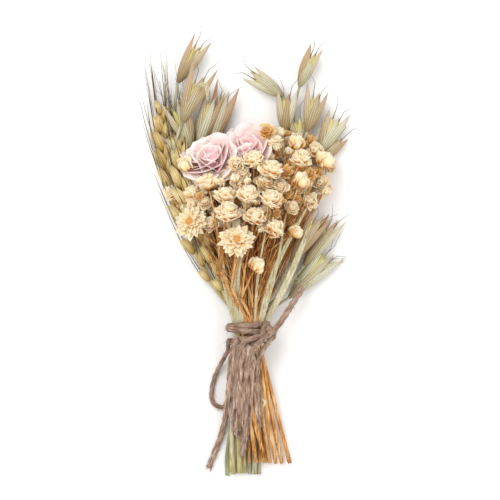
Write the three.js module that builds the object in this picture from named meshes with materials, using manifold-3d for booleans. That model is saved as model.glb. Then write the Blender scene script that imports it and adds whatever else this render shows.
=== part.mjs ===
// A bunch of dried flowers lying on a table: sprays of cream strawflowers, two pink
// everlastings, three ears of wheat, four panicles of oats and a grass leaf, bound with
// soft twine. Millimetres. The table is z = 0, the heads point to +Y and the cut ends to -Y.
import * as THREE from 'three';
import { mergeVertices } from 'three/addons/utils/BufferGeometryUtils.js';
import Module from 'manifold-3d';

const wasm = await Module();
wasm.setup();

// ---------------------------------------------------------------- driving dimensions
const GAP = 0.3; // clearance between pieces that touch
const SPARE = 0.3; // extra clearance for the facets of bent pieces
const HEAD_SEAT = 0.5; // gap from a stem's end to the head or spikelet it bears
const CANOPY_REACH = 100; // from the tie to the middle of the flower canopy
const STEM_BELOW_TIE = 66; // from the tie to the cut ends of the flower stems
const STRAW_BELOW_TIE = 72; // from the tie to the cut ends of the wheat and oat straws

const TIE_HALF_WIDTH = 8.2; // opening inside the twine, half its width
const TIE_HALF_HEIGHT = 6.2; // opening inside the twine, half its height
const TIE_HALF_LENGTH = 7.5; // the stretch in which the stems run side by side
const TWINE_DIAMETER = 3.2;
const THIN_TWINE_DIAMETER = 2.8;
const LOOSE_STRAND_DIAMETER = 2.4;

const CREAM_STEM_RADIUS = 1.05;
const CREAM_PEDICEL_RADIUS = 0.6;
const PINK_STEM_RADIUS = 0.9;
const PINK_HEAD_RADIUS = 8.5;
const WHEAT_STRAW_RADIUS = 1.35;
const WHEAT_EAR_RADIUS = 5;
const WHEAT_FLATNESS = 0.8; // thickness of an ear over its width
const WHEAT_AWN_LENGTH = 8;
const WHEAT_AWN_RADIUS = 0.4;
const OAT_STRAW_RADIUS = 1.15;
const OAT_PEDICEL_RADIUS = 0.6;
const OAT_SPIKELET_RADIUS = 3.4;
const OAT_FLATNESS = 0.75; // thickness of a spikelet over its width
const LEAF_HALF_WIDTH = 1.7;
const LEAF_FLATNESS = 0.3;

const TIE_HEIGHT = TIE_HALF_HEIGHT + TWINE_DIAMETER; // the tie's middle above the table
const TWINE_RADIUS = TWINE_DIAMETER / 2;
const UP = new THREE.Vector3(0, 0, 1);

// ---------------------------------------------------------------- the layout
// The places of the wheat, the oats and the ears are given for a canopy this far out.
const LAYOUT_REACH = 100;

// lean: degrees from +Y, positive to +X. reach: share of CANOPY_REACH from the tie.
// lift: height above the table. size: diameter of the head.
// slot: where the stem sits in the tie, -1 to 1 across and up. foot: x and z of its cut end.
const creamSprays = [
  { slot: [-0.6, 0.45], foot: [4, 7], fork: 0.3, heads: [
    { lean: -28, reach: 0.66, lift: 27, size: 13 },
    { lean: -23, reach: 0.78, lift: 21, size: 7 },
    { lean: -21, reach: 0.92, lift: 20, size: 8 }] },
  { slot: [-0.4, 0.75], foot: [6, 4], fork: 0.34, heads: [
    { lean: -9, reach: 0.63, lift: 38, size: 11 },
    { lean: -9, reach: 0.73, lift: 30, size: 10 },
    { lean: -15, reach: 0.81, lift: 27, size: 10 }] },
  { slot: [-0.15, 0.85], foot: [8.5, 7], fork: 0.24, heads: [
    { lean: -9, reach: 0.49, lift: 35, size: 13.5 },
    { lean: 0, reach: 0.71, lift: 37, size: 9.5 },
    { lean: -7, reach: 0.82, lift: 25, size: 8 }] },
  { slot: [0.1, 0.9], foot: [11, 4], fork: 0.17, heads: [
    { lean: 6, reach: 0.37, lift: 28, size: 8 },
    { lean: 3, reach: 0.6, lift: 36, size: 9 },
    { lean: 2, reach: 0.89, lift: 28, size: 9 }] },
  { slot: [0.3, 0.7], foot: [14, 6], fork: 0.34, heads: [
    { lean: 10, reach: 0.69, lift: 37, size: 9.5 },
    { lean: 8, reach: 0.84, lift: 32, size: 10 },
    { lean: 7, reach: 0.98, lift: 20, size: 9 }] },
  { slot: [0.5, 0.4], foot: [17, 3], fork: 0.3, heads: [
    { lean: 15, reach: 0.57, lift: 32, size: 9 },
    { lean: 17, reach: 0.93, lift: 30, size: 9 },
    { lean: 14, reach: 1.0, lift: 19, size: 8.5 }] },
  { slot: [0.7, 0.1], foot: [21, 2], fork: 0.3, heads: [
    { lean: 27, reach: 0.61, lift: 26, size: 7 },
    { lean: 19, reach: 0.83, lift: 29, size: 8.5 },
    { lean: 24, reach: 0.97, lift: 22, size: 8.5 }] },
];

const pinkFlowers = [
  { slot: [-0.2, 0.1], foot: [1.5, 5], lean: -12, reach: 0.89, lift: 18 },
  { slot: [0.2, 0.1], foot: [9, 2], lean: 1, reach: 0.9, lift: 18 },
];

// Each straw's course above the tie, x, y and z, then where its ear starts and ends.
const wheatStalks = [
  { slot: [-0.85, 0], foot: [-8, 2], ear: [22, 108],
    course: [[-15, 17, 8], [-24, 35, 6], [-33, 60, 5], [-40, 88, 5], [-44, 108, 5]] },
  { slot: [-0.7, 0.3], foot: [-5, 5], ear: [18, 94],
    course: [[-10, 16, 14], [-17, 32, 15], [-24, 57, 14], [-31, 80, 13], [-34, 94, 12]] },
  { slot: [-0.6, -0.35], foot: [-2.5, 2], ear: [30, 100],
    course: [[-10, 20, 7], [-16, 40, 5], [-23, 62, 5], [-30, 84, 5], [-34, 100, 5]] },
];

// Spikelets run from base to tip, x, y and z. The first one ends the stalk.
const oatStalks = [
  { slot: [-0.35, -0.5], foot: [-5.5, 2], fork: 0.6, spikelets: [
    { base: [-36, 126, 7], tip: [-23, 148, 9] },
    { base: [-33, 107, 14], tip: [-21, 135, 14] },
    { base: [-30, 92, 13], tip: [-38, 119, 13] }] },
  { slot: [-0.1, -0.8], foot: [0.5, 2], fork: 0.55, spikelets: [
    { base: [-20, 92, 6], tip: [-10, 125, 8] },
    { base: [-27, 92, 8], tip: [-16, 123, 10] }] },
  { slot: [0.25, -0.6], foot: [3, 5], fork: 0.55, spikelets: [
    { base: [26, 125, 7], tip: [35, 145, 9] },
    { base: [18, 119, 8], tip: [-1, 132, 8] },
    { base: [19, 102, 6], tip: [20, 124, 9] },
    { base: [31, 102, 8], tip: [36, 125, 9] },
    { base: [38, 92, 8], tip: [47, 113, 8] }] },
  { slot: [0.65, -0.4], foot: [5.5, 2], fork: 0.12, spikelets: [
    { base: [28, 33, 7], tip: [46, 59, 5] },
    { base: [21, 35, 14], tip: [39, 62, 14] },
    { base: [20, 17, 6], tip: [46, 43, 5] }] },
];

const leafBlade = { slot: [-0.9, -0.3], foot: [-9, 1], course: [[-8.5, 18, 17], [-10, 44, 20]] };

// Free twine, each stretch a route of points from its start to its end.
const twineStretches = {
  twine_loop_left: { diameter: LOOSE_STRAND_DIAMETER, route: [
    [-9.9, -8.6, 11], [-11.6, -12, 8.6], [-13.4, -15.5, 5.6], [-15.2, -19, 3], [-16.8, -22.8, 1.6],
    [-17.9, -26.6, 1.25], [-18.5, -30.4, 1.25], [-18.5, -34, 1.25], [-17.3, -36.6, 1.25],
    [-14.9, -38.1, 1.25], [-12.1, -38, 1.25], [-9.9, -36.4, 1.25]] },
  twine_tail_left: { diameter: TWINE_DIAMETER, route: [
    [-7.6, -9, 15.6], [-8.6, -15, 14.2], [-9.2, -22, 12.4], [-9.6, -29, 10.4], [-10.2, -36, 8],
    [-11.3, -43, 5], [-13, -50, 2.4], [-15.2, -57, 1.65], [-17.6, -63, 1.65], [-20, -69, 1.65]] },
  twine_loop_front: { diameter: THIN_TWINE_DIAMETER, route: [
    [2.6, -2.6, 21.4], [-1.4, -4.2, 21], [-4.2, -8.4, 20], [-5.2, -14, 18.6], [-5.6, -21, 16.8],
    [-6, -29, 14.6], [-6.8, -37, 12.2], [-7.4, -43.6, 10.2], [-7.2, -48.6, 8.9], [-5, -52.2, 8],
    [-1, -53.8, 7.7], [3, -52.4, 7.9], [5.3, -48.6, 8.6], [5.4, -42.6, 10.2], [4.7, -33, 12.6],
    [4.4, -25, 14.8],
    [5, -17, 17], [6.6, -10.6, 18.8], [8.2, -7.4, 19.6]] },
  twine_tail_front: { diameter: TWINE_DIAMETER, route: [
    [3.8, -6.8, 21.8], [1.8, -10.8, 20.6], [0, -16, 18.4], [-0.8, -23, 16.6], [-1, -31, 14.6],
    [-1, -39, 13.2], [-1.2, -46, 12.5], [-1.6, -52, 12], [-2.2, -57.4, 10], [-2.8, -62, 7.6]] },
  twine_tail_right: { diameter: TWINE_DIAMETER, route: [
    [10, -1, 24], [13, 1.6, 23], [15.8, 4.8, 21], [18.6, 8.8, 18.6], [21.2, 12.8, 16.2],
    [23.8, 16.8, 14.2], [26.2, 20.4, 13], [27.6, 22.6, 12.6]] },
};

// ---------------------------------------------------------------- materials
function finish(color, roughness) {
  return new THREE.MeshStandardMaterial({ color, roughness, metalness: 0 });
}

const finishes = {
  cream: () => finish('#f1dcb6', 0.9),
  pink: () => finish('#eccbd2', 0.85),
  goldStem: () => finish('#cf9448', 0.75),
  wheat: () => finish('#c0a45c', 0.8),
  oat: () => finish('#b4ab86', 0.8),
  leaf: () => finish('#a3a87e', 0.8),
  twine: () => finish('#a58672', 0.95),
};

// ---------------------------------------------------------------- chains of points
// Every piece is laid out as a chain of points with a radius at each, then settled.
const points = [];
const chains = [];
const necks = []; // where a pedicel runs on into its head: the points before, at and after

function addPoint(place, hold, tied = false) {
  points.push({ at: place.clone(), home: place.clone(), hold, tied, radius: 0 });
  return points.length - 1;
}

function addChain(node, ids, radii, kind = {}) {
  chains.push({ node, ids, radii, still: false, ball: false, ...kind });
  ids.forEach((id, i) => {
    points[id].radius = Math.max(points[id].radius, radii[i]);
  });
  return chains[chains.length - 1];
}

function fanPoint(lean, reach, lift) {
  const angle = THREE.MathUtils.degToRad(lean);
  const distance = reach * CANOPY_REACH;
  return new THREE.Vector3(distance * Math.sin(angle), distance * Math.cos(angle), lift);
}

function vector(xyz) {
  return new THREE.Vector3(...xyz);
}

const SPREAD = CANOPY_REACH / LAYOUT_REACH;
const STEP = 10; // spacing of the points along a stem
const WHEAT_STEP = 8; // spacing of the points along an ear
const SLOT_SPREAD = 0.8; // share of the tie's opening that the stems' places fill
const BEND_LEAD = 0.35; // how early a pedicel turns towards its head, as a share of its length
const FOOT_HOLD = 0.1;
const HEAD_HOLD = 0.08;
const FORK_HOLD = 0.02;
const COURSE_HOLD = 0.03;
const FREE = 0.002;
const CLEAR_ENOUGH = 0.02; // overlap of two clearances that may be left

// The lower stem: from the cut end up to the top of the tie.
function plantStem(slot, foot, length) {
  const ids = [];
  const tieX = slot[0] * TIE_HALF_WIDTH * SLOT_SPREAD;
  const tieZ = TIE_HEIGHT + slot[1] * TIE_HALF_HEIGHT * SLOT_SPREAD;
  const end = new THREE.Vector3(foot[0], -length, foot[1]);
  const tieStart = new THREE.Vector3(tieX, -TIE_HALF_LENGTH, tieZ);
  const steps = Math.round((length - TIE_HALF_LENGTH) / STEP);
  for (let i = 0; i < steps; i++) {
    ids.push(addPoint(end.clone().lerp(tieStart, i / steps), i === 0 ? FOOT_HOLD : FREE));
  }
  for (const y of [-TIE_HALF_LENGTH, 0, TIE_HALF_LENGTH]) {
    ids.push(addPoint(new THREE.Vector3(tieX, y, tieZ), FREE, true));
  }
  return ids;
}

// Points from a chain's last point to a target, arriving along a direction.
function reachTo(from, target, direction) {
  const start = points[from].home;
  const distance = start.distanceTo(target);
  const bend = target.clone().addScaledVector(direction, -BEND_LEAD * distance);
  const curve = new THREE.QuadraticBezierCurve3(start, bend, target);
  const steps = Math.max(2, Math.round(distance / STEP));
  const ids = [];
  for (let i = 1; i <= steps; i++) {
    ids.push(addPoint(curve.getPoint(i / steps), i === steps ? HEAD_HOLD : FREE));
  }
  return ids;
}

function taper(ids, from, to) {
  return ids.map((id, i) => THREE.MathUtils.lerp(from, to, i / (ids.length - 1)));
}

// ---------------------------------------------------------------- the stalks
const HEAD_HEIGHT = 1.25; // height of a cream head over its radius
const PINK_HEIGHT = 0.95; // height of a pink head over its radius
const HEAD_MIDDLE = 0.65; // share of a head's height at which it is centred
const HEAD_FOOT = 0.3; // radius of a head where its pedicel ends, over its full radius
const CREAM_TILT = 48; // degrees that a cream head faces up from the table
const PINK_TILT = 55;
const TRUNK_TAPER = 0.85; // radius of a trunk at its fork, over its radius at the cut end
const PINK_TAPER = 0.7;
const PEDICEL_FLARE = 1.3; // radius of a pedicel at the fork, over its radius at the head
const FORK_BELOW = 12; // an oat pedicel leaves the straw at least this far below its spikelet

function addHead(node, pedicel, direction, radius, height) {
  const [beforeId, baseId] = pedicel.slice(-2);
  const middle = points[baseId].home.clone().addScaledVector(direction, HEAD_MIDDLE * height);
  const middleId = addPoint(middle, HEAD_HOLD);
  necks.push([beforeId, baseId, middleId]);
  return addChain(node, [baseId, middleId], [HEAD_FOOT * radius, radius], { ball: true });
}

function faceDirection(place, tilt) {
  const outward = new THREE.Vector3(place.x, place.y, 0).normalize();
  const angle = THREE.MathUtils.degToRad(tilt);
  return outward.multiplyScalar(Math.cos(angle)).addScaledVector(UP, Math.sin(angle));
}

const stems = []; // { node, chains, finish }
const heads = []; // { node, chain, radius, height, finish }

function plantCreamSprays() {
  let count = 0;
  creamSprays.forEach((spray, s) => {
    const node = `cream_stem_${s + 1}`;
    const root = plantStem(spray.slot, spray.foot, STEM_BELOW_TIE);
    const middle = new THREE.Vector3();
    spray.heads.forEach((head) => middle.add(fanPoint(head.lean, head.reach, head.lift)));
    middle.multiplyScalar(1 / spray.heads.length);
    const top = points[root[root.length - 1]].home;
    const share = (spray.fork * CANOPY_REACH) / middle.y;
    const fork = addPoint(top.clone().lerp(middle, share), FORK_HOLD);
    const trunk = [...root, fork];
    const stem = { node, chains: [], finish: 'goldStem' };
    const trunkRadii = taper(trunk, CREAM_STEM_RADIUS, CREAM_STEM_RADIUS * TRUNK_TAPER);
    stem.chains.push(addChain(node, trunk, trunkRadii));
    spray.heads.forEach((head) => {
      const radius = head.size / 2;
      const height = HEAD_HEIGHT * radius;
      const centre = fanPoint(head.lean, head.reach, head.lift);
      const direction = faceDirection(centre, CREAM_TILT);
      const base = centre.addScaledVector(direction, -HEAD_MIDDLE * height);
      const ids = [fork, ...reachTo(fork, base, direction)];
      const radii = taper(ids, CREAM_PEDICEL_RADIUS * PEDICEL_FLARE, CREAM_PEDICEL_RADIUS);
      stem.chains.push(addChain(node, ids, radii));
      count += 1;
      const name = `cream_head_${String(count).padStart(2, '0')}`;
      const chain = addHead(name, ids, direction, radius, height);
      heads.push({ node: name, chain, radius, height, finish: 'cream' });
    });
    stems.push(stem);
  });
}

function plantPinkFlowers() {
  pinkFlowers.forEach((flower, i) => {
    const node = `pink_stem_${i + 1}`;
    const root = plantStem(flower.slot, flower.foot, STEM_BELOW_TIE);
    const height = PINK_HEIGHT * PINK_HEAD_RADIUS;
    const centre = fanPoint(flower.lean, flower.reach, flower.lift);
    const direction = faceDirection(centre, PINK_TILT);
    const base = centre.addScaledVector(direction, -HEAD_MIDDLE * height);
    const ids = [...root, ...reachTo(root[root.length - 1], base, direction)];
    const chain = addChain(node, ids, taper(ids, PINK_STEM_RADIUS, PINK_STEM_RADIUS * PINK_TAPER));
    stems.push({ node, chains: [chain], finish: 'goldStem' });
    const name = `pink_head_${i + 1}`;
    const head = addHead(name, ids, direction, PINK_HEAD_RADIUS, height);
    heads.push({ node: name, chain: head, radius: PINK_HEAD_RADIUS, height, finish: 'pink' });
  });
}

// An ear's radius over its full one: how it starts at its foot and tip, and how fast it swells.
const EAR_FOOT = { start: 0.45, rate: 2.6 };
const EAR_TIP = { start: 0.5, rate: 2.4 };

function earRadius(y, ear) {
  if (y < ear[0]) return WHEAT_STRAW_RADIUS;
  const share = (y - ear[0]) / (ear[1] - ear[0]);
  const fromFoot = Math.min(1, EAR_FOOT.start + EAR_FOOT.rate * share);
  const swell = fromFoot * Math.min(1, EAR_TIP.start + EAR_TIP.rate * (1 - share));
  return Math.max(WHEAT_STRAW_RADIUS, WHEAT_EAR_RADIUS * swell);
}

const wheatBodies = [];
const spikelets = [];
const leaves = [];

function plantWheat() {
  wheatStalks.forEach((stalk, i) => {
    const node = `wheat_stalk_${i + 1}`;
    const root = plantStem(stalk.slot, stalk.foot, STRAW_BELOW_TIE);
    const top = points[root[root.length - 1]].home;
    const scale = new THREE.Vector3(SPREAD, SPREAD, 1);
    const course = stalk.course.map((place) => vector(place).multiply(scale));
    const curve = new THREE.CatmullRomCurve3([top, ...course], false, 'centripetal');
    const ids = [...root];
    const steps = Math.round(curve.getLength() / WHEAT_STEP);
    for (let k = 1; k <= steps; k++) ids.push(addPoint(curve.getPointAt(k / steps), COURSE_HOLD));
    const ear = stalk.ear.map((y) => y * SPREAD);
    const radii = ids.map((id) => earRadius(points[id].home.y, ear));
    const awnTip = curve.getPoint(1).addScaledVector(curve.getTangent(1), WHEAT_AWN_LENGTH);
    ids.push(addPoint(awnTip, FREE));
    radii.push(WHEAT_AWN_RADIUS);
    wheatBodies.push({ node, chain: addChain(node, ids, radii) });
  });
}

// A spikelet's radii at its base and at these shares of its length.
const SPIKELET_BASE_RADIUS = 0.8;
const SPIKELET_TIP_RADIUS = 0.5;
const SPIKELET_TAPER = 0.85;
const SPIKELET_SHARES = [0.3, 0.6, 1];

function plantOats() {
  let count = 0;
  oatStalks.forEach((stalk, s) => {
    const node = `oat_stem_${s + 1}`;
    const root = plantStem(stalk.slot, stalk.foot, STRAW_BELOW_TIE);
    const scale = new THREE.Vector3(SPREAD, SPREAD, 1);
    const stem = { node, chains: [], finish: 'oat' };
    let trunk = [...root];
    stalk.spikelets.forEach((spikelet, k) => {
      const base = vector(spikelet.base).multiply(scale);
      const tip = vector(spikelet.tip).sub(vector(spikelet.base)).add(base);
      const direction = tip.clone().sub(base).normalize();
      let ids;
      if (k === 0) {
        trunk = [...root, ...reachTo(root[root.length - 1], base, direction)];
        ids = trunk;
        stem.chains.push(addChain(node, ids, taper(ids, OAT_STRAW_RADIUS, OAT_PEDICEL_RADIUS)));
      } else {
        const wanted = Math.min(stalk.fork * CANOPY_REACH, base.y - FORK_BELOW);
        const fork = trunk.reduce((best, id) => {
          const miss = Math.abs(points[id].home.y - wanted);
          return miss < Math.abs(points[best].home.y - wanted) ? id : best;
        }, trunk[trunk.length - 2]);
        ids = [fork, ...reachTo(fork, base, direction)];
        stem.chains.push(addChain(node, ids, ids.map(() => OAT_PEDICEL_RADIUS)));
      }
      count += 1;
      const name = `oat_spikelet_${String(count).padStart(2, '0')}`;
      const body = [ids[ids.length - 1]];
      for (const share of SPIKELET_SHARES) {
        body.push(addPoint(base.clone().lerp(tip, share), HEAD_HOLD));
      }
      const tapered = OAT_SPIKELET_RADIUS * SPIKELET_TAPER;
      const radii = [SPIKELET_BASE_RADIUS, OAT_SPIKELET_RADIUS, tapered, SPIKELET_TIP_RADIUS];
      spikelets.push({ node: name, chain: addChain(name, body, radii) });
    });
    stems.push(stem);
  });
}

const LEAF_EXTRA = 1.5; // the leaf ends this far past the straws
const LEAF_HEADING = new THREE.Vector3(-0.05, 1, 0.05);

function plantLeaf() {
  const root = plantStem(leafBlade.slot, leafBlade.foot, STRAW_BELOW_TIE + LEAF_EXTRA);
  const ids = [...root];
  leafBlade.course.forEach((place) => {
    ids.push(...reachTo(ids[ids.length - 1], vector(place), LEAF_HEADING));
  });
  leaves.push({ node: 'grass_leaf', chain: addChain('grass_leaf', ids, ids.map(() => LEAF_HALF_WIDTH)) });
}

function layTwine() {
  Object.entries(twineStretches).forEach(([node, stretch]) => {
    const ids = stretch.route.map((place) => addPoint(vector(place), 0));
    addChain(node, ids, ids.map(() => stretch.diameter / 2), { still: true });
  });
}

// ---------------------------------------------------------------- settling
const PUSH = 1.2; // a pair is pushed apart by this share of what is missing
const PAIR_REACH = 4; // pairs closer than this are watched
const RELIST = 10; // rounds between lists of pairs
const CHAIN_EASE = 0.12;
const NECK_EASE = 0.3;
const EASE_ROUNDS = 160;
const CLEAR_ROUNDS = 400;

function nearestOnSegment(place, a, b) {
  const along = b.clone().sub(a);
  return THREE.MathUtils.clamp(place.clone().sub(a).dot(along) / along.dot(along), 0, 1);
}

// Nearest places of two segments, as shares along each. A head counts as the ball at its end.
function nearestShares(p, q) {
  const [a, b, c, d] = [p.a, p.b, q.a, q.b].map((id) => points[id].at);
  if (p.chain.ball && q.chain.ball) return [1, 1];
  if (p.chain.ball) return [1, nearestOnSegment(b, c, d)];
  if (q.chain.ball) return [nearestOnSegment(d, a, b), 1];
  return nearestOnLines(a, b, c, d);
}

function nearestOnLines(a, b, c, d) {
  const u = b.clone().sub(a);
  const v = d.clone().sub(c);
  const w = a.clone().sub(c);
  const uu = u.dot(u);
  const vv = v.dot(v);
  const uv = u.dot(v);
  const uw = u.dot(w);
  const vw = v.dot(w);
  const spread = uu * vv - uv * uv;
  let s = spread > 1e-9 ? THREE.MathUtils.clamp((uv * vw - vv * uw) / spread, 0, 1) : 0.5;
  let t = (uv * s + vw) / vv;
  if (t < 0 || t > 1) {
    t = THREE.MathUtils.clamp(t, 0, 1);
    s = THREE.MathUtils.clamp((uv * t - uw) / uu, 0, 1);
  }
  return [s, t];
}

function listSegments() {
  const segments = [];
  chains.forEach((chain) => {
    for (let i = 0; i + 1 < chain.ids.length; i++) {
      const [a, b] = [chain.ids[i], chain.ids[i + 1]];
      const length = points[a].home.distanceTo(points[b].home);
      segments.push({ a, b, ra: chain.radii[i], rb: chain.radii[i + 1], chain, length });
    }
  });
  return segments;
}

function listPairs(segments, reach) {
  const pairs = [];
  const middles = segments.map((s) => points[s.a].at.clone().add(points[s.b].at).multiplyScalar(0.5));
  for (let i = 0; i < segments.length; i++) {
    for (let j = i + 1; j < segments.length; j++) {
      const [p, q] = [segments[i], segments[j]];
      if (p.chain.node === q.chain.node) continue;
      if (p.chain.still && q.chain.still) continue;
      if (p.a === q.a || p.a === q.b || p.b === q.a || p.b === q.b) continue;
      const limit = (p.length + q.length) / 2 + Math.max(p.ra, p.rb) + Math.max(q.ra, q.rb) + reach;
      if (middles[i].distanceTo(middles[j]) < limit) pairs.push([p, q]);
    }
  }
  return pairs;
}

function pushApart([p, q]) {
  const [s, t] = nearestShares(p, q);
  const onP = points[p.a].at.clone().lerp(points[p.b].at, s);
  const onQ = points[q.a].at.clone().lerp(points[q.b].at, t);
  const between = onP.sub(onQ);
  const wanted = THREE.MathUtils.lerp(p.ra, p.rb, s) + THREE.MathUtils.lerp(q.ra, q.rb, t) + GAP + SPARE;
  const distance = between.length();
  if (distance >= wanted) return 0;
  if (distance < 1e-6) between.set(0, 0, 1);
  const push = between.normalize().multiplyScalar(wanted - distance);
  const shareP = q.chain.still ? 1 : p.chain.still ? 0 : 0.5;
  const move = (segment, share, amount) => {
    points[segment.a].at.addScaledVector(push, amount * (1 - share));
    points[segment.b].at.addScaledVector(push, amount * share);
  };
  if (shareP > 0) move(p, s, shareP * PUSH);
  if (shareP < 1) move(q, t, -(1 - shareP) * PUSH);
  return wanted - distance;
}

function keepInTie(point) {
  const halfWidth = TIE_HALF_WIDTH - point.radius - GAP - SPARE;
  const halfHeight = TIE_HALF_HEIGHT - point.radius - GAP - SPARE;
  point.at.y = point.home.y;
  const across = point.at.x / halfWidth;
  const up = (point.at.z - TIE_HEIGHT) / halfHeight;
  const out = Math.hypot(across, up);
  if (out > 1) {
    point.at.x /= out;
    point.at.z = TIE_HEIGHT + (up * halfHeight) / out;
  }
}

function relax(ids, amount) {
  for (let i = 1; i + 1 < ids.length; i++) {
    const middle = points[ids[i - 1]].at.clone().add(points[ids[i + 1]].at).multiplyScalar(0.5);
    points[ids[i]].at.lerp(middle, amount);
  }
}

function keepLength(segment) {
  const along = points[segment.b].at.clone().sub(points[segment.a].at);
  const excess = (along.length() - segment.length) / along.length() / 2;
  points[segment.a].at.addScaledVector(along, excess * 0.5);
  points[segment.b].at.addScaledVector(along, -excess * 0.5);
}

// Ease the crowded pieces apart until each is clear of its neighbours and the table.
function settle() {
  const segments = listSegments();
  const moving = chains.filter((chain) => !chain.still);
  const free = segments.filter((segment) => !segment.chain.still);
  let pairs = [];
  for (let round = 0; round < EASE_ROUNDS + CLEAR_ROUNDS; round++) {
    const easing = Math.max(0, 1 - round / EASE_ROUNDS);
    if (round % RELIST === 0) pairs = listPairs(segments, PAIR_REACH);
    if (easing > 0) {
      moving.forEach((chain) => relax(chain.ids, CHAIN_EASE * easing));
      necks.forEach((ids) => relax(ids, NECK_EASE * easing));
      points.forEach((point) => point.at.lerp(point.home, point.hold * easing));
      free.forEach(keepLength);
    }
    let worst = 0;
    pairs.forEach((pair) => {
      worst = Math.max(worst, pushApart(pair));
    });
    points.forEach((point) => {
      if (point.tied) keepInTie(point);
      point.at.z = Math.max(point.at.z, point.radius);
    });
    if (easing === 0 && worst < CLEAR_ENOUGH) break;
  }
}

// ---------------------------------------------------------------- solids
// A round body made by turning a profile, then bent along a curve. The profile holds
// [share of the curve, radius] from one end on the axis to the other.
function bendAlong(curve, profile, sides, flatness = 1) {
  const turned = new THREE.LatheGeometry(profile.map(([t, r]) => new THREE.Vector2(r, t)), sides);
  turned.deleteAttribute('normal');
  turned.deleteAttribute('uv');
  const geometry = mergeVertices(turned, 1e-5);
  const place = geometry.attributes.position;
  for (let i = 0; i < place.count; i++) {
    const [x, t, z] = [place.getX(i), THREE.MathUtils.clamp(place.getY(i), 0, 1), place.getZ(i)];
    const along = curve.getTangent(t);
    const across = along.clone().cross(UP).normalize();
    const above = across.clone().cross(along);
    const at = curve.getPoint(t).addScaledVector(across, x).addScaledVector(above, z * flatness);
    place.setXYZ(i, at.x, at.y, at.z);
  }
  return geometry;
}

function curveThrough(ids) {
  return new THREE.CatmullRomCurve3(ids.map((id) => points[id].at), false, 'centripetal');
}

// A profile with a ring at each point of a chain, closed at both ends.
function chainProfile(radii) {
  const rings = radii.map((radius, i) => [i / (radii.length - 1), radius]);
  return [[0, 0], ...rings, [1, 0]];
}

function toSolid(geometry) {
  const vertProperties = new Float32Array(geometry.attributes.position.array);
  const triVerts = new Uint32Array(geometry.index.array);
  return new wasm.Manifold(new wasm.Mesh({ numProp: 3, vertProperties, triVerts }));
}

function toGeometry(solid) {
  const mesh = solid.getMesh();
  const geometry = new THREE.BufferGeometry();
  geometry.setAttribute('position', new THREE.BufferAttribute(mesh.vertProperties, 3));
  geometry.setIndex(new THREE.BufferAttribute(mesh.triVerts, 1));
  return geometry;
}

function joined(geometries) {
  if (geometries.length === 1) return geometries[0];
  return toGeometry(geometries.map(toSolid).reduce((sum, solid) => sum.add(solid)));
}

function addMesh(group, node, geometry, look) {
  const mesh = new THREE.Mesh(geometry, finishes[look]());
  mesh.name = node;
  group.add(mesh);
}

const STEM_SIDES = 6;
const EAR_SIDES = 8;
const HEAD_SIDES = 8;
const SPIKELET_SIDES = 7;

function buildStems(group) {
  stems.forEach((stem) => {
    const bodies = stem.chains.map((chain) => (
      bendAlong(curveThrough(chain.ids), chainProfile(chain.radii), STEM_SIDES)));
    addMesh(group, stem.node, joined(bodies), stem.finish);
  });
}

// Each profile gives [share of the height, share of the radius] from the base to the tip.
const HEAD_PROFILE = [[0, 0], [0.1, 0.4], [0.42, 0.86], [0.7, 1], [0.93, 0.72], [1, 0]];
const SPIKELET_PROFILE = [[0, 0], [0.02, 0.2], [0.16, 0.72], [0.34, 1], [0.62, 0.82], [0.85, 0.36], [1, 0]];

function buildHeads(group) {
  heads.forEach((head) => {
    const [base, middle] = head.chain.ids.map((id) => points[id].at);
    const direction = middle.clone().sub(base).normalize();
    const start = base.clone().addScaledVector(direction, HEAD_SEAT);
    const curve = new THREE.LineCurve3(start, start.clone().addScaledVector(direction, head.height));
    const scaled = HEAD_PROFILE.map(([t, r]) => [t, r * head.radius]);
    addMesh(group, head.node, bendAlong(curve, scaled, HEAD_SIDES), head.finish);
  });
}

function buildWheat(group) {
  wheatBodies.forEach((wheat) => {
    const curve = curveThrough(wheat.chain.ids);
    const profile = chainProfile(wheat.chain.radii);
    addMesh(group, wheat.node, bendAlong(curve, profile, EAR_SIDES, WHEAT_FLATNESS), 'wheat');
  });
}

function buildSpikelets(group) {
  spikelets.forEach((spikelet) => {
    const line = curveThrough(spikelet.chain.ids);
    const start = line.getPointAt(0).addScaledVector(line.getTangentAt(0), HEAD_SEAT);
    const rest = spikelet.chain.ids.slice(1).map((id) => points[id].at);
    const curve = new THREE.CatmullRomCurve3([start, ...rest], false, 'centripetal');
    const scaled = SPIKELET_PROFILE.map(([t, r]) => [t, r * OAT_SPIKELET_RADIUS]);
    addMesh(group, spikelet.node, bendAlong(curve, scaled, SPIKELET_SIDES, OAT_FLATNESS), 'oat');
  });
}

const LEAF_RINGS = 14;
const LEAF_FOOT = 0.8; // half width at the cut end, over the full half width
const LEAF_POINT = 2.2; // how fast the blade narrows to its point

function buildLeaves(group) {
  leaves.forEach((leaf) => {
    const profile = [[0, 0], [0, LEAF_FOOT]];
    for (let i = 1; i < LEAF_RINGS; i++) {
      const share = i / LEAF_RINGS;
      profile.push([share, Math.min(1, LEAF_POINT * (1 - share))]);
    }
    profile.push([1, 0]);
    const scaled = profile.map(([t, r]) => [t, r * LEAF_HALF_WIDTH]);
    const geometry = bendAlong(curveThrough(leaf.chain.ids), scaled, STEM_SIDES, LEAF_FLATNESS);
    addMesh(group, leaf.node, geometry, 'leaf');
  });
}

// ---------------------------------------------------------------- the twine
// Turns round the stems: y of the middle and the slant in degrees.
const turns = [
  { y: 3.6, slant: 4 },
  { y: 0.8, slant: -5 },
  { y: -3.4, slant: 9 },
];

const TURN_SIDES = 6;
const TURN_STEPS = 20;
const THIN = 0.1; // tube radius of the plain ring that each turn is shaped from

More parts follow.
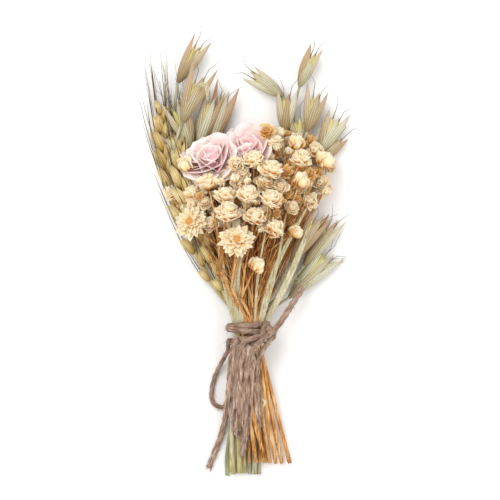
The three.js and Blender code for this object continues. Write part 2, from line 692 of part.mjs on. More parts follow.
function buildWrap(group) {
  const rings = turns.map((turn) => {
    const halfWidth = TIE_HALF_WIDTH + TWINE_RADIUS;
    const halfHeight = TIE_HALF_HEIGHT + TWINE_RADIUS;
    const course = new THREE.EllipseCurve(0, 0, halfWidth, halfHeight);
    const geometry = new THREE.TorusGeometry(1, THIN, TURN_SIDES, TURN_STEPS);
    geometry.deleteAttribute('normal');
    geometry.deleteAttribute('uv');
    const ring = mergeVertices(geometry, 1e-5);
    const place = ring.attributes.position;
    const slant = Math.tan(THREE.MathUtils.degToRad(turn.slant));
    for (let i = 0; i < place.count; i++) {
      const angle = Math.atan2(place.getY(i), place.getX(i));
      const out = (Math.hypot(place.getX(i), place.getY(i)) - 1) / THIN;
      const side = place.getZ(i) / THIN;
      const centre = course.getPoint(((angle / (2 * Math.PI)) + 1) % 1);
      const normal = new THREE.Vector2(centre.x / halfWidth ** 2, centre.y / halfHeight ** 2).normalize();
      const x = centre.x + normal.x * out * TWINE_RADIUS;
      const z = centre.y + normal.y * out * TWINE_RADIUS;
      place.setXYZ(i, x, turn.y - side * TWINE_RADIUS + centre.x * slant, z + TIE_HEIGHT);
    }
    return ring;
  });
  addMesh(group, 'twine_wrap', joined(rings), 'twine');
}

const KNOT = { at: [8.2, -0.6], radius: 2.5, strand: 1.25, lean: 32, stretch: [1, 1.15, 0.8] };
const KNOT_STEPS = 36;
const KNOT_SIDES = 6;
const KNOT_OUT = 0.6; // shares of its clearance that the knot sits out and up from the turns
const KNOT_UP = 0.9;

function buildKnot(group) {
  const knot = new THREE.TorusKnotGeometry(KNOT.radius, KNOT.strand, KNOT_STEPS, KNOT_SIDES, 2, 3);
  knot.deleteAttribute('normal');
  knot.deleteAttribute('uv');
  const geometry = mergeVertices(knot, 1e-4);
  const share = KNOT.at[0] / (TIE_HALF_WIDTH + TWINE_DIAMETER);
  const top = TIE_HEIGHT + (TIE_HALF_HEIGHT + TWINE_DIAMETER) * Math.sqrt(1 - share * share);
  const clear = KNOT.strand + KNOT.radius * 0.5 + GAP;
  geometry.scale(...KNOT.stretch);
  geometry.rotateY(THREE.MathUtils.degToRad(KNOT.lean));
  geometry.translate(KNOT.at[0] + clear * KNOT_OUT, KNOT.at[1], top + clear * KNOT_UP);
  addMesh(group, 'twine_knot', geometry, 'twine');
}

const CORD_SIDES = 8;
const CORD_STEP = 1.9; // spacing of the sections along a free stretch, in diameters

// A free stretch: a round section swept along its route.
function buildStretch(group, node, stretch) {
  const curve = new THREE.CatmullRomCurve3(stretch.route.map(vector), false, 'centripetal');
  const section = new THREE.Shape();
  for (let i = 0; i < CORD_SIDES; i++) {
    const angle = (2 * Math.PI * i) / CORD_SIDES;
    const [x, y] = [Math.cos(angle) * stretch.diameter / 2, Math.sin(angle) * stretch.diameter / 2];
    if (i === 0) section.moveTo(x, y);
    else section.lineTo(x, y);
  }
  const steps = Math.round(curve.getLength() / (CORD_STEP * stretch.diameter));
  const geometry = new THREE.ExtrudeGeometry(section, { steps, extrudePath: curve, curveSegments: 1 });
  addMesh(group, node, geometry, 'twine');
}

// ---------------------------------------------------------------- assembly
plantCreamSprays();
plantPinkFlowers();
plantWheat();
plantOats();
plantLeaf();
layTwine();
settle();

const bunch = new THREE.Group();
buildWheat(bunch);
buildStems(bunch);
buildHeads(bunch);
buildSpikelets(bunch);
buildLeaves(bunch);
buildWrap(bunch);
buildKnot(bunch);

// The origin is under the middle of the bunch, its free twine left out.
const box = new THREE.Box3().setFromObject(bunch);
const middle = box.getCenter(new THREE.Vector3());
Object.entries(twineStretches).forEach(([node, stretch]) => buildStretch(bunch, node, stretch));
bunch.position.set(-middle.x, -middle.y, -box.min.z);

export default bunch;
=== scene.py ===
# A bunch of dried flowers lying on a pale surface: cream and pink everlastings, wheat,
# oats and a grass leaf, bound with soft jute twine. Metres, heads towards +Y.
import math
import random

import bmesh
import bpy
from mathutils import Matrix, Vector


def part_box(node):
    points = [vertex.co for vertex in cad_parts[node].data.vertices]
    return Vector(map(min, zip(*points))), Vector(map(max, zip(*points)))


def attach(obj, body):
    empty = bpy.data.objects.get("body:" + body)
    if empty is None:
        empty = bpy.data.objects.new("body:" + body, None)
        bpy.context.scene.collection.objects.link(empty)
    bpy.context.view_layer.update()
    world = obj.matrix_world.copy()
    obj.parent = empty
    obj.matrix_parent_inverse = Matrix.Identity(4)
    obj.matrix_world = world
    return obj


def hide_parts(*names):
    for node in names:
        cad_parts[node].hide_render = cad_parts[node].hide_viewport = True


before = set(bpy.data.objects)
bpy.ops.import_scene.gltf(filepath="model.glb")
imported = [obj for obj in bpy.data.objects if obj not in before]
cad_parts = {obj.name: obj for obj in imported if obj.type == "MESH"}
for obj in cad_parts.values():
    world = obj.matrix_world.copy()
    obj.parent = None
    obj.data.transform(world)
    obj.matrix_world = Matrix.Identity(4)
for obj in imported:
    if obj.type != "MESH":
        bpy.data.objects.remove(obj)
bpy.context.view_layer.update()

MM = 0.001
UP = Vector((0, 0, 1))
TIE_SKEW = 0.000333  # the tie's middle lies this far up the bunch from the turns' own middle


# ------------------------------------------------------------------ camera and studio
VIEW_WIDTH = 0.25
VIEW_CENTRE = Vector((0.0009, 0.0039, 0.02))
VIEW_DISTANCE = 1.2
SENSOR = 36
SKY_STRENGTH = 0.75


def place_camera():
    lens = bpy.data.cameras.new("camera")
    lens.sensor_width = SENSOR
    lens.lens = SENSOR * VIEW_DISTANCE / VIEW_WIDTH
    camera = bpy.data.objects.new("camera", lens)
    camera.location = VIEW_CENTRE + UP * VIEW_DISTANCE
    bpy.context.collection.objects.link(camera)
    bpy.context.scene.camera = camera


def add_light(name, place, size, power):
    lamp = bpy.data.lights.new(name, "AREA")
    lamp.size = size
    lamp.energy = power
    light = bpy.data.objects.new(name, lamp)
    light.location = place
    light.rotation_euler = (VIEW_CENTRE - Vector(place)).to_track_quat("-Z", "Y").to_euler()
    bpy.context.collection.objects.link(light)


def light_studio():
    add_light("key_light", place=(-0.4, 0.4, 1.0), size=0.7, power=6.8)
    add_light("fill_light", place=(0.7, -0.3, 0.8), size=0.8, power=3.2)
    world = bpy.data.worlds.new("studio")
    world.use_nodes = True
    background = world.node_tree.nodes["Background"]
    background.inputs["Color"].default_value = (1, 1, 1, 1)
    background.inputs["Strength"].default_value = SKY_STRENGTH
    bpy.context.scene.world = world
    bpy.context.scene.view_settings.view_transform = "Standard"


# ------------------------------------------------------------------ shader maths
def srgb(code):
    """A colour written as a hex code, as the shader's linear numbers."""
    parts = [int(code[i:i + 2], 16) / 255 for i in (1, 3, 5)]
    return (*[p / 12.92 if p <= 0.04045 else ((p + 0.055) / 1.055) ** 2.4 for p in parts], 1)


class Wire:
    """A node's output that can be used in sums and products."""

    def __init__(self, look, socket):
        self.look = look
        self.socket = socket

    def combine(self, operation, first, second):
        return self.look.add("ShaderNodeMath", {"operation": operation}, {0: first, 1: second})

    def __add__(self, other):
        return self.combine("ADD", self, other)

    def __radd__(self, other):
        return self.combine("ADD", other, self)

    def __mul__(self, other):
        return self.combine("MULTIPLY", self, other)

    def __rmul__(self, other):
        return self.combine("MULTIPLY", other, self)

    def __pow__(self, other):
        return self.combine("POWER", self, other)


class Look:
    """A material with one shader, and the nodes that feed it."""

    def __init__(self, name, roughness):
        self.material = bpy.data.materials.new(name)
        self.material.use_nodes = True
        self.tree = self.material.node_tree
        self.shader = self.tree.nodes["Principled BSDF"]
        self.shader.inputs["Roughness"].default_value = roughness
        self.shader.inputs["Specular IOR Level"].default_value = 0.25

    def add(self, kind, settings=None, inputs=None, output=0):
        node = self.tree.nodes.new(kind)
        for name, value in (settings or {}).items():
            if name == "stops":
                self.set_stops(node.color_ramp, value)
            else:
                setattr(node, name, value)
        for name, value in (inputs or {}).items():
            if isinstance(value, Wire):
                self.tree.links.new(value.socket, node.inputs[name])
            else:
                node.inputs[name].default_value = value
        return Wire(self, node.outputs[output])

    def set_stops(self, ramp, stops):
        while len(ramp.elements) < len(stops):
            ramp.elements.new(0.5)
        for element, (place, code) in zip(ramp.elements, stops):
            element.position = place
            element.color = srgb(code)

    def attribute(self, name, output="Fac"):
        return self.add("ShaderNodeAttribute", {"attribute_name": name}, output=output)

    def place(self):
        return self.add("ShaderNodeTexCoord", output="Object")

    def stretch(self, vector, scale):
        return self.add("ShaderNodeMapping", inputs={"Vector": vector, "Scale": scale})

    def noise(self, vector, scale, detail):
        values = {"Vector": vector, "Scale": scale, "Detail": detail}
        return self.add("ShaderNodeTexNoise", inputs=values)

    def ramp(self, value, stops):
        return self.add("ShaderNodeValToRGB", {"stops": stops}, {"Fac": value}, "Color")

    def mix(self, share, first, second, blend="MIX"):
        settings = {"data_type": "RGBA", "blend_type": blend}
        return self.add("ShaderNodeMix", settings, {0: share, 6: first, 7: second}, 2)

    def feed(self, name, wire):
        self.tree.links.new(wire.socket, self.shader.inputs[name])

    def bump(self, height, depth, strength=0.6):
        values = {"Height": height, "Distance": depth, "Strength": strength}
        self.feed("Normal", self.add("ShaderNodeBump", inputs=values))


# ------------------------------------------------------------------ materials
def papery(name, stops, veins, shade, depth, veining=0.25, blush="#ffffff"):
    """Thin dry petals or husks: colour from root to tip, veins along them, own tint each. The
    shade darkens them by the depth, and some of them are tinged with the blush."""
    look = Look(name, 0.7)
    side = look.attribute("edge")
    tint = look.attribute("tint")
    base = look.ramp(look.attribute("along"), stops)
    rib = look.add("ShaderNodeMath", {"operation": "SINE"}, {0: side * veins})
    blotch = look.noise(look.place(), 520.0, 3.0)
    dark = tint * depth + rib * (veining * 0.5) + blotch * 0.3 + (veining * 0.5 - 0.15)
    tinged = look.mix(tint ** 2.0, base, srgb(blush), "MULTIPLY")
    look.feed("Base Color", look.mix(dark, tinged, srgb(shade), "MULTIPLY"))
    look.bump(rib * 0.4 + blotch * 0.6, 0.0003)
    look.shader.inputs["Subsurface Weight"].default_value = 0.2
    look.shader.inputs["Subsurface Scale"].default_value = 0.002
    return look.material


def cream_petal():
    # The deep orange-brown at the petals' roots is partly their own warm base and partly painted shade
    # where they crowd into the head.
    stops = [(0.0, "#b8651f"), (0.22, "#eaac60"), (0.48, "#fcdcaa"), (1.0, "#fff4dc")]
    return papery("cream_petal", stops, veins=9.0, shade="#fbdfb6", depth=0.3, veining=0.15)


def cream_floret():
    stops = [(0.0, "#b26828"), (0.4, "#e8b066"), (1.0, "#fbdfa8")]
    return papery("cream_floret", stops, veins=5.0, shade="#ecc084", depth=0.4)


def pink_petal():
    stops = [(0.0, "#dc94a4"), (0.16, "#f2c4cb"), (0.4, "#fcebe7"), (1.0, "#fffbf2")]
    return papery("pink_petal", stops, veins=9.0, shade="#f3c0c8", depth=0.5, veining=0.3)


def oat_glume():
    stops = [(0.0, "#b0aa86"), (0.25, "#d4ccae"), (0.65, "#ebe2cd"), (1.0, "#f1e4d6")]
    return papery("oat_glume", stops, veins=21.0, shade="#c4b89c", depth=0.55, veining=0.7,
                  blush="#f3d8cc")


def oat_lemma():
    stops = [(0.0, "#b5ac66"), (0.45, "#dccf7e"), (1.0, "#ebdfa8")]
    return papery("oat_lemma", stops, veins=14.0, shade="#cbb876", depth=0.4, veining=0.4)


def wheat_husk():
    stops = [(0.0, "#ae8d50"), (0.25, "#dac184"), (0.65, "#eedfb0"), (1.0, "#cbbd90")]
    return papery("wheat_husk", stops, veins=12.0, shade="#d2bc80", depth=0.5, veining=0.5)


def straw(name, light, middle, dark):
    """Dry stems: fine grooves and slow colour changes along them."""
    look = Look(name, 0.6)
    grain = look.noise(look.stretch(look.place(), (1.0, 0.03, 1.0)), 2200.0, 3.0)
    patch = look.noise(look.place(), 75.0, 3.0)
    stops = [(0.38, dark), (0.5, middle), (0.64, light)]
    look.feed("Base Color", look.ramp(grain * 0.6 + patch * 0.4, stops))
    look.feed("Roughness", grain * 0.3 + 0.42)
    look.bump(grain, 0.0005, 0.9)
    return look.material


def golden_stem():
    return straw("golden_stem", "#f2c98c", "#cc8f4a", "#874c20")


def oat_straw():
    return straw("oat_straw", "#cfc9aa", "#aca685", "#7e795e")


def wheat_straw():
    return straw("wheat_straw", "#dfd2a0", "#c2b47c", "#8f8054")


def dry_leaf():
    return straw("dry_leaf", "#c6c69c", "#a6a87c", "#7e8058")


def pale_sheath():
    return straw("pale_sheath", "#ece4c8", "#d2c8a2", "#a89e74")


def dark_awn():
    return straw("dark_awn", "#7d6a54", "#5d4b3b", "#382b22")


def pale_awn():
    return straw("pale_awn", "#d8c69c", "#b3a074", "#84734f")


def jute():
    """Soft twine: long fibres that follow the lay of the strand."""
    look = Look("jute", 0.92)
    fibre = look.stretch(look.attribute("strand", "Vector"), (5.0, 5.0, 130.0))
    thread = look.noise(fibre, 1.5, 5.0)
    patch = look.noise(look.place(), 260.0, 3.0)
    stops = [(0.36, "#6d4e3e"), (0.45, "#a3826d"), (0.55, "#ccac95"), (0.66, "#f0dccd")]
    look.feed("Base Color", look.ramp(thread * 0.75 + patch * 0.25, stops))
    look.bump(thread, 0.0012, 1.0)
    return look.material


def jute_fibre():
    """Loosened fibres: darker and lighter lengths beside each other."""
    look = Look("jute_fibre", 0.95)
    thread = look.noise(look.stretch(look.place(), (1.0, 0.08, 1.0)), 900.0, 4.0)
    patch = look.noise(look.place(), 160.0, 2.0)
    stops = [(0.37, "#7e5d48"), (0.46, "#b5947d"), (0.55, "#d3b7a3"), (0.66, "#f2e2d4")]
    look.feed("Base Color", look.ramp(thread * 0.85 + patch * 0.15, stops))
    return look.material


def pale_floor():
    look = Look("pale_floor", 0.85)
    patch = look.noise(look.place(), 6.0, 2.0)
    look.feed("Base Color", look.ramp(patch, [(0.3, "#fbfbfa"), (0.7, "#ffffff")]))
    return look.material


# ------------------------------------------------------------------ making pieces
def show(name, mesh, material, nodes=()):
    """Puts a finished mesh or curve into the scene as a piece of the bunch."""
    piece = bpy.data.objects.new(name, mesh)
    mesh.materials.append(material)
    bpy.context.collection.objects.link(piece)
    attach(piece, "root")
    if nodes:
        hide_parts(*nodes)
    return piece


def as_mesh(name, bm):
    """The mesh made from a bmesh, which is freed."""
    mesh = bpy.data.meshes.new(name)
    bm.to_mesh(mesh)
    bm.free()
    return mesh


def smooth_mesh(name, bm):
    mesh = as_mesh(name, bm)
    mesh.shade_smooth()
    return mesh


def show_solid(name, bm, material, nodes=()):
    """Shows closed shapes, their faces turned outwards."""
    bmesh.ops.recalc_face_normals(bm, faces=bm.faces)
    return show(name, smooth_mesh(name, bm), material, nodes)


def show_sheets(name, bm, thickness, material, nodes=()):
    """Shows petals or husks, which get a thin wall."""
    piece = show(name, smooth_mesh(name, bm), material, nodes)
    wall = piece.modifiers.new("wall", "SOLIDIFY")
    wall.thickness = thickness
    wall.offset = 0
    return piece


def show_threads(name, lines, radius, material, resolution=1):
    """Shows one curve of many thin round threads. Each is a line and its radius at its end, as
    a share of its radius at its start."""
    curve = bpy.data.curves.new(name, "CURVE")
    curve.dimensions = "3D"
    curve.bevel_depth = radius
    curve.bevel_resolution = resolution
    curve.use_fill_caps = True
    for line, taper in lines:
        spline = curve.splines.new("POLY")
        spline.points.add(len(line) - 1)
        for k, place in enumerate(line):
            spline.points[k].co = (*place, 1)
            spline.points[k].radius = 1 + (taper - 1) * k / (len(line) - 1)
    return show(name, curve, material)


def round_off(piece):
    rounding = piece.modifiers.new("rounding", "SUBSURF")
    rounding.levels = 1
    rounding.render_levels = 1


def carry_frames(line):
    """A sideways direction at each point of a line, turning no more than the line does."""
    headings = []
    for k in range(len(line)):
        ahead = line[min(k + 1, len(line) - 1)]
        behind = line[max(k - 1, 0)]
        headings.append((ahead - behind).normalized())
    side = headings[0].cross(UP if abs(headings[0].z) < 0.9 else Vector((1, 0, 0))).normalized()
    sides = [side]
    for heading in headings[1:]:
        side = (side - heading * side.dot(heading)).normalized()
        sides.append(side)
    return list(zip(headings, sides))


def sweep(bm, line, radii, sides, section=None):
    """Extrudes a ring along a line of points, closed at both ends. section(angle, distance) is
    the ring's radius over the given one."""
    strand = bm.verts.layers.float_vector.get("strand") or bm.verts.layers.float_vector.new("strand")
    ring = bmesh.ops.create_circle(bm, cap_ends=True, segments=sides, radius=1)
    cap = ring["verts"][0].link_faces[0]
    distance = 0
    for k, (centre, (heading, side)) in enumerate(zip(line, carry_frames(line))):
        if k > 0:
            grown = bmesh.ops.extrude_face_region(bm, geom=[cap])
            if k > 1:
                bmesh.ops.delete(bm, geom=[cap], context="FACES_ONLY")
            cap = [part for part in grown["geom"] if isinstance(part, bmesh.types.BMFace)][0]
            distance += (centre - line[k - 1]).length
        above = side.cross(heading)
        for i, vert in enumerate(cap.verts):
            angle = 2 * math.pi * i / sides
            out = section(angle, distance) if section else 1
            spoke = side * math.cos(angle) + above * math.sin(angle)
            vert.co = centre + spoke * radii[k] * out
            vert[strand] = (math.cos(angle), math.sin(angle), distance)


def smooth_line(points, spacing):
    """Points about a spacing apart on a smooth curve through the given ones."""
    ends = [points[0] * 2 - points[1], *points, points[-1] * 2 - points[-2]]
    line = [points[0].copy()]
    for a, b, c, d in zip(ends, ends[1:], ends[2:], ends[3:]):
        steps = max(1, round((c - b).length / spacing))
        for k in range(1, steps + 1):
            t = k / steps
            line.append((b * 2 + (c - a) * t + (a * 2 - b * 5 + c * 4 - d) * t * t
                         + (b * 3 - a - c * 3 + d) * t * t * t) / 2)
    return line


# ------------------------------------------------------------------ reading the frame
SAME_PLACE = 1e-6


def merged(node):
    """A copy of a node's mesh with its loose triangles joined."""
    bm = bmesh.new()
    bm.from_mesh(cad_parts[node].data)
    bmesh.ops.remove_doubles(bm, verts=bm.verts, dist=SAME_PLACE)
    return bm


def mean_edge(vert):
    return sum(edge.calc_length() for edge in vert.link_edges) / len(vert.link_edges)


def ends_of(node, sides):
    """The two poles of a node turned on a lathe: its base, the tighter one, and its tip."""
    bm = merged(node)
    poles = [vert for vert in bm.verts if len(vert.link_edges) == sides]
    poles.sort(key=mean_edge)
    base, tip = poles[0], poles[-1]
    axis = (tip.co - base.co).normalized()
    radius = max((v.co - base.co - axis * axis.dot(v.co - base.co)).length for v in bm.verts)
    found = (base.co.copy(), tip.co.copy(), radius)
    bm.free()
    return found


def ring_centres(node):
    """The middle and half width of each ring of a bent stalk, from its cut end to its tip."""
    bm = merged(node)
    near = {max(bm.verts, key=lambda vert: vert.co.y)}
    seen = set(near)
    rings = []
    while near:
        centre = sum((vert.co for vert in near), Vector()) / len(near)
        width = max((vert.co - centre).length for vert in near)
        rings.append((centre, width))
        near = {e.other_vert(v) for v in near for e in v.link_edges} - seen
        seen |= near
    bm.free()
    return rings[::-1]


def node_names(start):
    return sorted(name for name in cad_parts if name.startswith(start))


tie_low, tie_high = (Vector(corner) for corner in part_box("twine_wrap"))
tie_middle = (tie_low + tie_high) / 2 + Vector((0, TIE_SKEW, 0))
tie_base = Vector((tie_middle.x, tie_middle.y, 0))


def from_tie(x, y, z):
    """A place given from the point on the surface under the tie's middle."""
    return tie_base + Vector((x, y, z))


# ------------------------------------------------------------------ the free twine
TWINE = 0.0032
THIN_TWINE = 0.0028
LOOSE_STRAND = 0.0024
LOBES = 3
LOBE_DEPTH = 0.11
LAY_LENGTH = 0.014  # one turn of the strand's twist
STRAND_FILL = 0.9  # the strand's mean radius, over half its diameter
STRAND_SIDES = 18
TWINE_STEP = 0.0008
FUZZ_RADIUS = 0.00007
FRAYED_FIBRES = 26

TWINE_ROUTES = {
    "twine_loop_left": (LOOSE_STRAND, "object", [
        (-0.0099, -0.0086, 0.011), (-0.0116, -0.012, 0.0086), (-0.0134, -0.0155, 0.0056),
        (-0.0152, -0.019, 0.003), (-0.0168, -0.0228, 0.0016), (-0.0179, -0.0266, 0.00125),
        (-0.0185, -0.0304, 0.00125), (-0.0185, -0.034, 0.00125), (-0.0173, -0.0366, 0.00125),
        (-0.0149, -0.0381, 0.00125), (-0.0121, -0.038, 0.00125), (-0.0099, -0.0364, 0.00125)]),
    "twine_tail_left": (TWINE, "bare", [
        (-0.0076, -0.009, 0.0156), (-0.0086, -0.015, 0.0142), (-0.0092, -0.022, 0.0124),
        (-0.0096, -0.029, 0.0104), (-0.0102, -0.036, 0.008), (-0.0113, -0.043, 0.005),
        (-0.013, -0.05, 0.0024), (-0.0152, -0.057, 0.00165), (-0.0176, -0.063, 0.00165),
        (-0.02, -0.069, 0.00165)]),
    "twine_loop_front": (THIN_TWINE, "object", [
        (0.0026, -0.0026, 0.0214), (-0.0014, -0.0042, 0.021), (-0.0042, -0.0084, 0.02),
        (-0.0052, -0.014, 0.0186), (-0.0056, -0.021, 0.0168), (-0.006, -0.029, 0.0146),
        (-0.0068, -0.037, 0.0122), (-0.0074, -0.0436, 0.0102), (-0.0072, -0.0486, 0.0089),
        (-0.005, -0.0522, 0.008), (-0.001, -0.0538, 0.0077), (0.003, -0.0524, 0.0079),
        (0.0053, -0.0486, 0.0086), (0.0054, -0.0426, 0.0102), (0.0047, -0.033, 0.0126),
        (0.0044, -0.025, 0.0148), (0.005, -0.017, 0.017), (0.0066, -0.0106, 0.0188),
        (0.0082, -0.0074, 0.0196)]),
    "twine_tail_front": (TWINE, "bare", [
        (0.0038, -0.0068, 0.0218), (0.0018, -0.0108, 0.0206), (0, -0.016, 0.0184),
        (-0.0008, -0.023, 0.0166), (-0.001, -0.031, 0.0146), (-0.001, -0.039, 0.0132),
        (-0.0012, -0.046, 0.0125), (-0.0016, -0.052, 0.012), (-0.0022, -0.0574, 0.01),
        (-0.0028, -0.062, 0.0076)]),
    "twine_tail_right": (TWINE, "bare", [
        (0.01, -0.001, 0.024), (0.013, 0.0016, 0.023), (0.0158, 0.0048, 0.021),
        (0.0186, 0.0088, 0.0186), (0.0212, 0.0128, 0.0162), (0.0238, 0.0168, 0.0142),
        (0.0262, 0.0204, 0.013), (0.0276, 0.0226, 0.0126)]),
}


def lay_of_strand(angle, distance):
    """The bulge of a strand's threads, which wind round it."""
    turn = 2 * math.pi * distance / LAY_LENGTH
    return 1 + LOBE_DEPTH * math.cos(LOBES * (angle - turn))


def lay_strand(bm, line, radius, sides=STRAND_SIDES):
    sweep(bm, line, [radius * STRAND_FILL] * len(line), sides, lay_of_strand)


def show_fuzz(name, fibres, fibre_look):
    return show_threads(name, fibres, FUZZ_RADIUS, fibre_look, 0)


def line_length(line):
    return sum((b - a).length for a, b in zip(line, line[1:]))


def lift_clear(place, least):
    return Vector((place.x, place.y, max(place.z, least)))


def hairs_along(line, radius, count, seed):
    """Fine loose fibres that stand off a strand and lean along it."""
    chance = random.Random(seed)
    frames = carry_frames(line)
    hairs = []
    for _ in range(count):
        k = chance.randrange(len(line) - 1)
        heading, side = frames[k]
        angle = chance.uniform(0, 2 * math.pi)
        spoke = side * math.cos(angle) + side.cross(heading) * math.sin(angle)
        lean = heading * chance.choice((-1, 1))
        root = line[k] + spoke * radius * 0.85
        length = chance.uniform(1.2, 3.6) * MM
        bend = spoke * chance.uniform(0.2, 0.8)
        middle = root + (lean + bend * 0.5).normalized() * length * 0.5
        tip = middle + (lean * 0.6 + bend).normalized() * length * 0.5
        hairs.append(([lift_clear(p, 0.1 * MM) for p in (root, middle, tip)], 0.4))
    return hairs


def frayed_end(line, radius, seed):
    """The splayed fibres at a cut end of twine."""
    chance = random.Random(seed)
    heading = (line[-1] - line[-3]).normalized()
    side = heading.cross(UP).normalized()
    fibres = []
    for _ in range(FRAYED_FIBRES):
        across = side * chance.uniform(-1, 1) * radius
        over = UP * chance.uniform(-0.5, 0.9) * radius
        root = line[-1] - heading * 2.5 * MM + across * 0.7 + over * 0.7
        tip = line[-1] + heading * chance.uniform(0.3, 2.6) * MM + across * 1.4 + over
        fibres.append(([lift_clear(root, 0.2 * MM), lift_clear(tip, 0.2 * MM)], 0.5))
    return fibres


def make_free_twine(jute_look, fibre_look):
    for seed, (node, (width, far_end, route)) in enumerate(TWINE_ROUTES.items()):
        line = smooth_line([from_tie(*place) for place in route], TWINE_STEP)
        radius = width / 2
        bm = bmesh.new()
        lay_strand(bm, line, radius)
        cord = show_solid(node + "_strand", bm, jute_look, [node])
        fibres = hairs_along(line, radius, count=90, seed=seed)
        if far_end == "bare":
            fibres += frayed_end(line, radius, seed)
        fuzz = show_fuzz(node + "_fuzz", fibres, fibre_look)
        tuple(line[0])
        line_length(line)
        [tuple(p) for p in line]


# ------------------------------------------------------------------ the turns and the knot
TIE_HALF_WIDTH = 0.0082
TIE_HALF_HEIGHT = 0.0062
TURNS = [(0.0036, 4), (0.0008, -5), (-0.0034, 9)]  # y of each turn's middle, slant in degrees
TURN_STEPS = 96


def make_turns(jute_look, fibre_look):
    bm = bmesh.new()
    fibres = []
    for seed, (y, slant) in enumerate(TURNS):
        line = []
        for k in range(TURN_STEPS + 1):
            angle = 2 * math.pi * k / TURN_STEPS
            x = (TIE_HALF_WIDTH + TWINE / 2) * math.cos(angle)
            z = (TIE_HALF_HEIGHT + TWINE / 2) * math.sin(angle)
            lean = x * math.tan(math.radians(slant))
            line.append(from_tie(x, y + lean, tie_middle.z + z))
        lay_strand(bm, line, TWINE / 2)
        fibres += hairs_along(line, TWINE / 2, count=130, seed=40 + seed)
    show_solid("twine_turns", bm, jute_look, ["twine_wrap"])
    show_fuzz("twine_turns_fuzz", fibres, fibre_look)


# Where the free stretches run on into the turns and the knot: each one's diameter and places.
JOINS = [
    (LOOSE_STRAND, [(-0.0095, -0.0035, 0.0155), (-0.0099, -0.006, 0.0135),
                    (-0.0099, -0.0088, 0.0109)]),
    (TWINE, [(-0.0045, -0.0035, 0.0185), (-0.0065, -0.006, 0.0175), (-0.0077, -0.0092, 0.0155)]),
    (THIN_TWINE, [(0.0105, -0.002, 0.0195), (0.0098, -0.0052, 0.0198), (0.0081, -0.0076, 0.0196)]),
    (THIN_TWINE, [(0.0088, -0.001, 0.0205), (0.0058, -0.0016, 0.0214), (0.0024, -0.0027, 0.0214)]),
    (TWINE, [(0.0085, -0.0015, 0.0205), (0.0062, -0.0042, 0.0218), (0.0036, -0.0071, 0.0218)]),
    (TWINE, [(0.0082, -0.0035, 0.0205), (0.0085, -0.0022, 0.0232), (0.0102, -0.0008, 0.024)]),
]
JOIN_STEP = 0.0006
JOIN_SIDES = 16

KNOT_STRAND = 0.00145
KNOT_STEPS = 120
KNOT_INSET = 0.0013  # the strand's middle stays so far inside the knot's box
KNOT_RISE = 0.0016
KNOT_WAVE = 0.5  # how far the trefoil swings in and out, over its mean radius


def make_joins(bm):
    for width, places in JOINS:
        line = smooth_line([from_tie(*place) for place in places], JOIN_STEP)
        lay_strand(bm, line, width / 2, JOIN_SIDES)


def trefoil():
    """The way of the strand through the knot, which fills the knot's box."""
    low, high = (Vector(corner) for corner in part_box("twine_knot"))
    reach = (high - low) / 2
    line = []
    for k in range(KNOT_STEPS + 1):
        angle = 2 * math.pi * k / KNOT_STEPS
        ring = (1 + KNOT_WAVE * math.cos(3 * angle)) / (1 + KNOT_WAVE)
        x = ring * math.cos(2 * angle) * (reach.x - KNOT_INSET)
        y = ring * math.sin(2 * angle) * (reach.y - KNOT_INSET)
        line.append((low + high) / 2 + Vector((x, y, math.sin(3 * angle) * KNOT_RISE)))
    return line


def make_knot(jute_look, fibre_look):
    line = trefoil()
    bm = bmesh.new()
    sweep(bm, line, [KNOT_STRAND] * len(line), JOIN_SIDES, lay_of_strand)
    make_joins(bm)
    show_solid("twine_knot_strand", bm, jute_look, ["twine_knot"])
    fibres = hairs_along(line, KNOT_STRAND, count=120, seed=71)
    show_fuzz("twine_knot_fuzz", fibres, fibre_look)


LOCKS = 12
LOCK_STEPS = 24
FIBRES_IN_LOCK = 26
FIBRE_RADIUS = 0.00019
LOOSE_START = -0.002  # y of the loosened fibres' start, under the lowest turn
LOOSE_REACH = 0.059


def lock_line(chance, across):
    """The middle of one lock of fibres: how far along each point is, and its place from the
    tie. across is the lock's side of the bundle, from -1 to 1."""
    reach = LOOSE_REACH * chance.uniform(0.72, 1.0) * (1 - 0.22 * across * across)
    phase = chance.uniform(0, 2 * math.pi)
    sway = chance.uniform(0.6, 1.7) * MM
    steps = []
    for k in range(LOCK_STEPS + 1):
        t = k / LOCK_STEPS
        spread = (2.8 + 5.0 * math.sin(math.pi * 0.5 * min(1, 1.7 * t))) * MM
        x = -1.2 * MM + across * spread + sway * math.sin(phase + 7 * t) - 2.0 * MM * t
        crown = 2.6 * MM * (1 - across * across) * min(1, 4 * t + 0.3)
        sunk = 4.5 * MM * max(0, 1 - 9 * t)
        z = 18.4 * MM - 10.6 * MM * t * reach / LOOSE_REACH + crown - sunk
        steps.append((t, Vector((x, LOOSE_START - reach * t, z))))
    return steps


def loose_fibre(chance, steps, thickness):
    """One curled fibre of a lock, which ends somewhere in the lock's last quarter."""
    angle = chance.uniform(0, 2 * math.pi)
    out = math.sqrt(chance.random()) * thickness
    offset = Vector((math.cos(angle) * out, 0, math.sin(angle) * out * 0.7))
    curl = chance.uniform(-0.8, 0.8) * MM
    end = round(len(steps) * chance.uniform(0.75, 1))
    phase = chance.uniform(0, 2 * math.pi)
    line = []
    for t, place in steps[:end]:
        gather = 1 - 0.4 * t ** 2
        wave = Vector((curl * math.sin(phase + 16 * t), 0, curl * 0.6 * math.cos(phase + 13 * t)))
        line.append(tie_base + place + offset * gather + wave)
    return line


def make_loose_jute(fibre_look):
    """The broad bundle of loosened strands that lies down over the stems."""
    chance = random.Random(5)
    lines = []
    for lock in range(LOCKS):
        steps = lock_line(chance, across=2 * (lock + 0.5) / LOCKS - 1)
        thickness = chance.uniform(0.7, 1.5) * MM
        lines += [(loose_fibre(chance, steps, thickness), 0.3) for _ in range(FIBRES_IN_LOCK)]
    show_threads("twine_loose_strands", lines, FIBRE_RADIUS, fibre_look)


